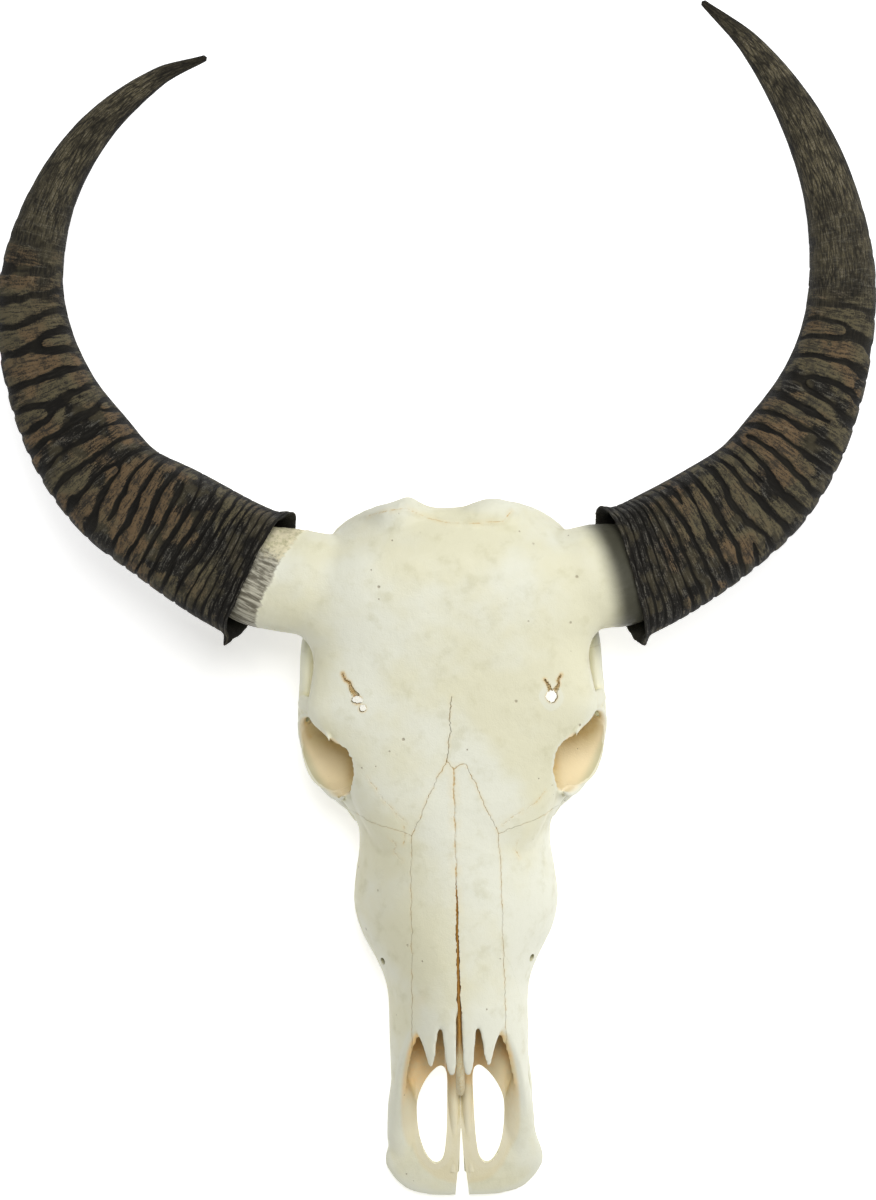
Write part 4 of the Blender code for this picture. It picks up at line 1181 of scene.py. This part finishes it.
def tooth_finish():
    """Ivory enamel, darker at the neck and brown in the folds."""
    finish, tree, shader = start_finish("tooth_enamel")
    place = add(tree, "ShaderNodeTexCoord", {}).outputs["Object"]
    upright = add(tree, "ShaderNodeMapping", {"Vector": place, "Scale": (1, 1, 0.2)}).outputs[0]
    streaks = noise(tree, upright, 420, 4)
    colour = blend(tree, level(tree, streaks, 0.4, 0.65), ENAMEL, DENTINE)
    colour = blend(tree, level(tree, noise(tree, place, 150, 4), 0.55, 0.72, 0, 0.8), colour, TARTAR)
    tree.links.new(colour, shader.inputs["Base Color"])
    tree.links.new(level(tree, streaks, 0.3, 0.7, 0.25, 0.5), shader.inputs["Roughness"])
    bump = add(tree, "ShaderNodeBump", {"Strength": 0.3, "Distance": 0.0005, "Height": streaks})
    tree.links.new(bump.outputs["Normal"], shader.inputs["Normal"])
    return finish


TOOTH = tooth_finish()
for side, label in ((1, "left"), (-1, "right")):
    row, y = [], TOOTH_ROW_START
    for length, wide, x in CHEEK_TEETH:
        row.append(tooth(side, y + length / 2, length, wide, x))
        y += length
    first = row.pop()
    carve(first, row, "UNION")
    first.name = first.data.name = "cheek_teeth_" + label
    dress(first, TOOTH, "bone")

# The horn sheaths: hollow keratin cones on the bony cores. Growth ridges cross them, close together at the
# rim and wider further out, some of them forking; their crowns are worn tan and the grooves are near black.
# Past the ridges the horn is smooth and fibrous, with painted shade along its sides, and it ends in a dark
# tip. The inner wall of the rim is painted near black as painted shade.
SHEATH_RINGS, SHEATH_SIDES = ((680, 240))
DEPTH_AT_RIM, DEPTH_AT_TIP = 0.74, 0.92
OVAL_CHANGES = [(0.95, 0.38, 0.16), (2.45, 0.55, 0.06), (1.75, 0.45, -0.10)]
RIDGED_LENGTH = {1: 350.0, -1: 390.0}
RIDGE_PITCHES = [(0, 5.5), (30, 7), (55, 11), (100, 14.5), (180, 16), (280, 19), (700, 24)]
RIDGE_FORKS = {
    1: [(62, 1.1, 1), (95, 2.2, -1), (128, 1.5, 1), (150, 0.7, -1), (196, 2.0, 1), (214, 1.2, -1),
        (262, 1.7, 1)],
    -1: [(48, 1.9, 1), (84, 0.9, -1), (118, 2.1, 1), (137, 1.3, -1), (186, 0.8, 1), (205, 1.8, -1),
         (255, 1.4, 1)],
}
INSIDE = [(0.0, 1.6), (1.5, 2.6), (4, 3.4), (10, 4.5), (22, 6), (45, 8), (70, 14), (80, 26)]


def horn_path(side, reach):
    """Rows on a horn's centre line, each `reach` millimetres from the rim, and its length."""
    rows = np.array(HORNS[side], float)
    far = np.r_[0, np.cumsum(np.linalg.norm(np.diff(rows[:, :3], axis=0), axis=1))]
    return smooth_rows(rows, far, np.clip(reach, 0, far[-1])), far[-1]


def sheath_surface(side, reach, turn, lift):
    """Points of a sheath at places along and round it, lifted off its smooth form. Each is a grid."""
    line, length = horn_path(side, reach)
    step = horn_path(side, np.asarray(reach) + 2)[0][:, :3] - horn_path(side, np.asarray(reach) - 2)[0][:, :3]
    along = step / np.linalg.norm(step, axis=1)[:, None]
    inward = np.cross(along, (0, 0, 1)) * -side
    inward /= np.linalg.norm(inward, axis=1)[:, None]
    front = np.array((0, 0, 1)) - along * along[:, 2:]
    tip = np.clip(np.asarray(reach) / length, 0, 1)[:, None]
    oval = 1.0
    for place, spread, change in OVAL_CHANGES:
        off = (turn - place + math.pi) % math.tau - math.pi
        oval = oval + (1 - tip) * change * np.exp(-((off / spread) ** 2))
    a, f = power(np.cos(turn), 0.92) * oval, power(np.sin(turn), 0.92) * oval
    deep = DEPTH_AT_RIM + (DEPTH_AT_TIP - DEPTH_AT_RIM) * tip
    lean = RIM_LEAN[side] * np.clip(1 - np.asarray(reach) / 60, 0, 1)[:, None] * a
    wide = line[:, 3:4]
    offset_in, offset_front = a * (wide + lift), f * (wide * deep + lift)
    grid = (
        line[:, None, :3]
        + inward[:, None] * offset_in[..., None]
        + front[:, None] * offset_front[..., None]
        + along[:, None] * lean[..., None]
    )
    return grid, offset_in, offset_front


def sheath(side, label):
    """One horn sheath with its finish marks."""
    _, length = horn_path(side, [0])
    reach = np.linspace(0, length, SHEATH_RINGS)
    turn = np.arange(SHEATH_SIDES)[None] * math.tau / SHEATH_SIDES + np.zeros((SHEATH_RINGS, 1))
    smooth, across, front = sheath_surface(side, reach, turn, 0.0)
    s = reach[:, None] + np.zeros_like(turn)
    flat = smooth.reshape(-1, 3)
    shape = turn.shape

    def cloud(size, seed):
        """Smooth random values over the sheath."""
        return clouds(flat, size, seed, 2).reshape(shape)

    places, pitches = zip(*RIDGE_PITCHES)
    phase = np.cumsum(np.diff(reach, prepend=0) / np.interp(reach, places, pitches))[:, None]
    phase = phase + 0.46 * cloud(46, 60 + side) + 0.14 * cloud(12, 70 + side)
    for place, at, sign in RIDGE_FORKS[side]:
        phase = phase + sign * np.arctan2((turn - at) * 38, s - place) / math.tau
    ridged = 1 - ramped(s + 55 * cloud(38, 80), RIDGED_LENGTH[side] - 130, RIDGED_LENGTH[side] + 40)
    near_rim = 1 - ramped(s, 22, 48)
    cut = 0.24 + 0.26 * cloud(17, 90) - 0.03 * near_rim
    between = np.abs((phase % 1) - 0.5) * 2
    groove = ramped(between, 1 - cut - 0.22, 1 - cut + 0.10) * ridged
    crown = (1 - groove) * ridged
    lift = 0.75 * crown - 1.15 * groove + 0.25 * cloud(7, 100) + 0.4 * cloud(24, 110)
    lift = lift * (1 - 0.35 * near_rim)

    patch = ramped(cloud(20, 120) + 0.25 * cloud(5, 130), -0.45, 0.05)
    facing = ramped(np.sin(turn) + 0.25 * cloud(10, 140), 0.18, 0.62)
    back = ramped(-np.sin(turn), 0.2, 0.6) * 0.5
    worn = ramped(crown, 0.35, 1.0) * patch * np.maximum(facing, back)
    worn = worn * ramped(s + 26 * cloud(15, 190), -6 if side < 0 else 8, 50 if side < 0 else 78)

    lift = lift * (0.45 + 0.55 * np.abs(np.sin(turn)))
    rim_fade = np.clip(1 - s / 14, 0, 1) ** 2
    lift = lift + 1.6 * np.exp(-((s / 5) ** 2)) + 0.5 * cloud(4, 150) * rim_fade
    curl = np.exp(-(((turn + math.pi) % math.tau - math.pi - 0.15) / 0.38) ** 2)
    lift = lift + 3.2 * curl * np.exp(-((s / 8) ** 2))
    spur_width = 0.10 if side < 0 else 0.16
    spur = np.exp(-(((turn - math.pi) / spur_width) ** 2)) * np.exp(-(((s - 2) / 3.0) ** 2))
    lift = lift + (7.5 if side < 0 else 4.0) * spur
    lift = lift * (1 - ramped(s, length - 14, length))

    skin, _, _ = sheath_surface(side, reach, turn, lift)
    ragged = rim_fade * (1.3 * cloud(9, 160) + 0.5 * cloud(2.5, 170))
    _, along, _ = rim_axes(side)
    skin = skin + along * ragged[..., None]

    rows_in = len(INSIDE)
    depth, inset = (np.array(v, float) for v in zip(*INSIDE))
    fade = np.exp(-depth[:, None] / 5)
    inner, _, _ = sheath_surface(side, depth, turn[:rows_in], lift[0] * fade - inset[:, None])
    inner = inner + along * (ragged[0] * fade)[..., None]
    grid = np.concatenate([inner[::-1], skin])

    total, sides = grid.shape[:2]
    tip_point = horn_path(side, [length])[0][0, :3]
    tip_along = tip_point - horn_path(side, [length - 4])[0][0, :3]
    tip_along /= np.linalg.norm(tip_along)
    root_point = horn_path(side, [depth[-1] + 4])[0][0, :3]
    points = np.concatenate([grid.reshape(-1, 3), [tip_point + tip_along * 1.6], [root_point]])
    r, i = np.meshgrid(np.arange(total - 1), np.arange(sides), indexing="ij")
    j = (i + 1) % sides
    quads = np.stack([r * sides + i, r * sides + j, (r + 1) * sides + j, (r + 1) * sides + i], -1)
    k = np.arange(sides)
    last = (total - 1) * sides
    caps = np.concatenate([
        np.stack([last + k, last + (k + 1) % sides, np.full(sides, total * sides)], -1),
        np.stack([(k + 1) % sides, k, np.full(sides, total * sides + 1)], -1),
    ])
    mesh = bpy.data.meshes.new("sheath")
    mesh.from_pydata((points * MM).tolist(), [], quads.reshape(-1, 4).tolist() + caps.tolist())
    work = bmesh.new()
    work.from_mesh(mesh)
    bmesh.ops.recalc_face_normals(work, faces=work.faces)
    work.to_mesh(mesh)
    work.free()
    made = bpy.data.objects.new("sheath_" + label, mesh)
    bpy.context.scene.collection.objects.link(made)

    def outer(values, inside=0.0):
        """One value for each point of the mesh, from a grid over the outside."""
        return np.r_[np.full(rows_in * sides, inside), values.ravel(), [values[-1].mean()], [inside]]

    # Inside the sheath the groove mark is full, so its inner wall is painted near black: painted shade in the
    # hollow of the horn.
    keep_mark(mesh, "groove", outer(groove, 1.0))
    keep_mark(mesh, "worn", outer(worn))
    keep_mark(mesh, "along", outer(s / length))
    # Painted shade: the 'edge' mark darkens the horn towards its sides, where its surface turns away from the
    # light above.
    flank_shade = 1 - ramped(np.abs(np.sin(turn)) + 0.25 * cloud(12, 180), 0.15, 0.65)
    keep_mark(mesh, "edge", outer(0.75 * flank_shade))
    keep_mark(mesh, "ridged", outer(ridged, 1.0))
    vectors = np.stack([across, front, s / 9], -1) * MM
    within, root = np.zeros((rows_in * sides, 3)), np.zeros((1, 3))
    fibre = np.concatenate([within, vectors.reshape(-1, 3), vectors[-1, :1], root])
    keep_vectors(mesh, "grain", fibre)
    keep_vectors(mesh, "ring_grain", fibre * (1 / 7, 1 / 7, 9))
    return made


GROOVE_BLACK = (0.0125, 0.0115, 0.0095, 1)
SLATE = (0.036, 0.033, 0.027, 1)
ASH = (0.135, 0.130, 0.110, 1)
WORN_TAN = (0.172, 0.116, 0.062, 1)
WORN_OLIVE = (0.132, 0.112, 0.064, 1)
WORN_GREY = (0.245, 0.215, 0.155, 1)


def horn_finish():
    """The finish of both sheaths: dull horn with worn crowns, dark grooves, a fibrous far half and painted
    shade on its flanks.
    """
    finish, tree, shader = start_finish("weathered_horn")
    place = add(tree, "ShaderNodeTexCoord", {}).outputs["Object"]
    grain, ring_grain = vector_mark(tree, "grain"), vector_mark(tree, "ring_grain")
    fibres = noise(tree, grain, 900, 5, 0.7)
    rings = noise(tree, ring_grain, 620, 5, 0.68)
    broad = noise(tree, place, 40, 4, 0.6)
    speck = noise(tree, place, 900, 4, 0.75)
    grit = plus(tree, times(tree, rings, 0.6), times(tree, speck, 0.4))

    tan = blend(tree, level(tree, noise(tree, place, 22, 3), 0.44, 0.60), WORN_OLIVE, WORN_TAN)
    tan = blend(tree, level(tree, noise(tree, place, 150, 4, 0.65), 0.48, 0.64, 0, 0.65), tan, SLATE)
    tan = blend(tree, level(tree, grit, 0.53, 0.43, 0, 0.9), tan, SLATE)
    tan = blend(tree, level(tree, grit, 0.57, 0.68, 0, 0.7), tan, WORN_GREY)
    dark = blend(tree, level(tree, grit, 0.44, 0.60), GROOVE_BLACK, SLATE)
    dark = blend(tree, level(tree, grit, 0.51, 0.61, 0, 0.85), dark, ASH)
    dark = blend(tree, level(tree, noise(tree, place, 60, 3), 0.48, 0.62, 0, 0.35), dark, WORN_OLIVE)
    edge = plus(tree, mark(tree, "worn"), times(tree, maths(tree, "SUBTRACT", grit, 0.5), 3.4))
    ridges = blend(tree, level(tree, edge, 0.2, 0.95), dark, tan)
    groove = plus(tree, mark(tree, "groove"), times(tree, maths(tree, "SUBTRACT", grit, 0.5), 1.2))
    ridges = blend(tree, level(tree, groove, 0.35, 0.8, 0, 0.9), ridges, GROOVE_BLACK)

    fibrous = blend(tree, level(tree, fibres, 0.36, 0.58), SLATE, WORN_OLIVE)
    fibrous = blend(tree, level(tree, plus(tree, fibres, speck), 1.02, 1.2, 0, 0.85), fibrous, WORN_GREY)
    crackle = add(tree, "ShaderNodeTexVoronoi", {"Vector": grain, "Scale": 330.0}, feature="DISTANCE_TO_EDGE")
    fibrous = blend(tree, level(tree, crackle.outputs["Distance"], 0.0, 0.13, 0.75, 0), fibrous, GROOVE_BLACK)
    # The broad patches darken at random; the 'edge' mark adds painted shade on the flanks.
    shade = plus(tree, level(tree, broad, 0.44, 0.62, 0, 0.55), mark(tree, "edge"))
    fibrous = blend(tree, shade, fibrous, GROOVE_BLACK)
    fibrous = blend(tree, level(tree, mark(tree, "along"), 0.90, 0.99, 0, 0.75), fibrous, GROOVE_BLACK)
    colour = blend(tree, mark(tree, "ridged"), fibrous, ridges)
    tree.links.new(colour, shader.inputs["Base Color"])
    tree.links.new(level(tree, speck, 0.3, 0.7, 0.55, 0.85), shader.inputs["Roughness"])

    along_or_round = add(tree, "ShaderNodeMix", {0: mark(tree, "ridged"), 2: fibres, 3: rings}).outputs[0]
    relief = plus(tree, along_or_round, times(tree, speck, 0.7))
    bump = add(tree, "ShaderNodeBump", {"Strength": 0.9, "Distance": 0.0016, "Height": relief})
    tree.links.new(bump.outputs["Normal"], shader.inputs["Normal"])
    shader.inputs["Specular IOR Level"].default_value = 0.12
    return finish


WEATHERED_HORN = horn_finish()
for side, label in ((1, "left"), (-1, "right")):
    dress(sheath(side, label), WEATHERED_HORN, "horn", "horn_sheath_" + label)

# The floor, the light and the camera. The camera looks straight down on the forehead from three metres, as
# the picture does, turned a little about its own axis.
FLOOR_REACH = 6.0
FLOOR_WHITE = (0.90, 0.90, 0.90, 1)
FLOOR_GLOW = 0.58
CAMERA_PLACE = Vector((-8.9, 444.0, 3000.0)) * MM
CAMERA_ROLL = -0.0213
LENS = 121.3


def add_light(name, place, size, watts):
    """A large soft square light that faces the middle of the skull."""
    light = bpy.data.lights.new(name, "AREA")
    light.size = size
    light.energy = watts
    made = bpy.data.objects.new(name, light)
    made.location = place
    made.rotation_euler = (Vector((0, 0, 0.1)) - Vector(place)).to_track_quat("-Z", "Y").to_euler()
    bpy.context.scene.collection.objects.link(made)


floor_mesh = bpy.data.meshes.new("floor")
floor_corners = [(x * FLOOR_REACH, y * FLOOR_REACH, 0) for x, y in ((-1, -1), (1, -1), (1, 1), (-1, 1))]
floor_mesh.from_pydata(floor_corners, [], [(0, 1, 2, 3)])
floor = bpy.data.objects.new("floor", floor_mesh)
bpy.context.scene.collection.objects.link(floor)
floor_finish, _, floor_shader = start_finish("floor_white")
floor_shader.inputs["Base Color"].default_value = FLOOR_WHITE
floor_shader.inputs["Roughness"].default_value = 0.9
floor_shader.inputs["Emission Color"].default_value = FLOOR_WHITE
floor_shader.inputs["Emission Strength"].default_value = FLOOR_GLOW
floor_mesh.materials.append(floor_finish)

add_light("overhead", (0.1, 0.2, 3.3), 1.1, 60)
add_light("side", (1.9, 0.5, 1.8), 1.2, 25)
world = bpy.data.worlds.new("studio")
world.use_nodes = True
world.node_tree.nodes["Background"].inputs["Color"].default_value = (1, 1, 1, 1)
world.node_tree.nodes["Background"].inputs["Strength"].default_value = 0.21
bpy.context.scene.world = world
bpy.context.scene.view_settings.view_transform = "Standard"

lens = bpy.data.cameras.new("camera")
lens.lens = LENS
lens.sensor_width = 36.0
lens.clip_end = 50.0
camera = bpy.data.objects.new("camera", lens)
bpy.context.scene.collection.objects.link(camera)
camera.matrix_world = AS_IT_LIES @ Matrix.Translation(CAMERA_PLACE) @ Matrix.Rotation(CAMERA_ROLL, 4, "Z")
bpy.context.scene.camera = camera
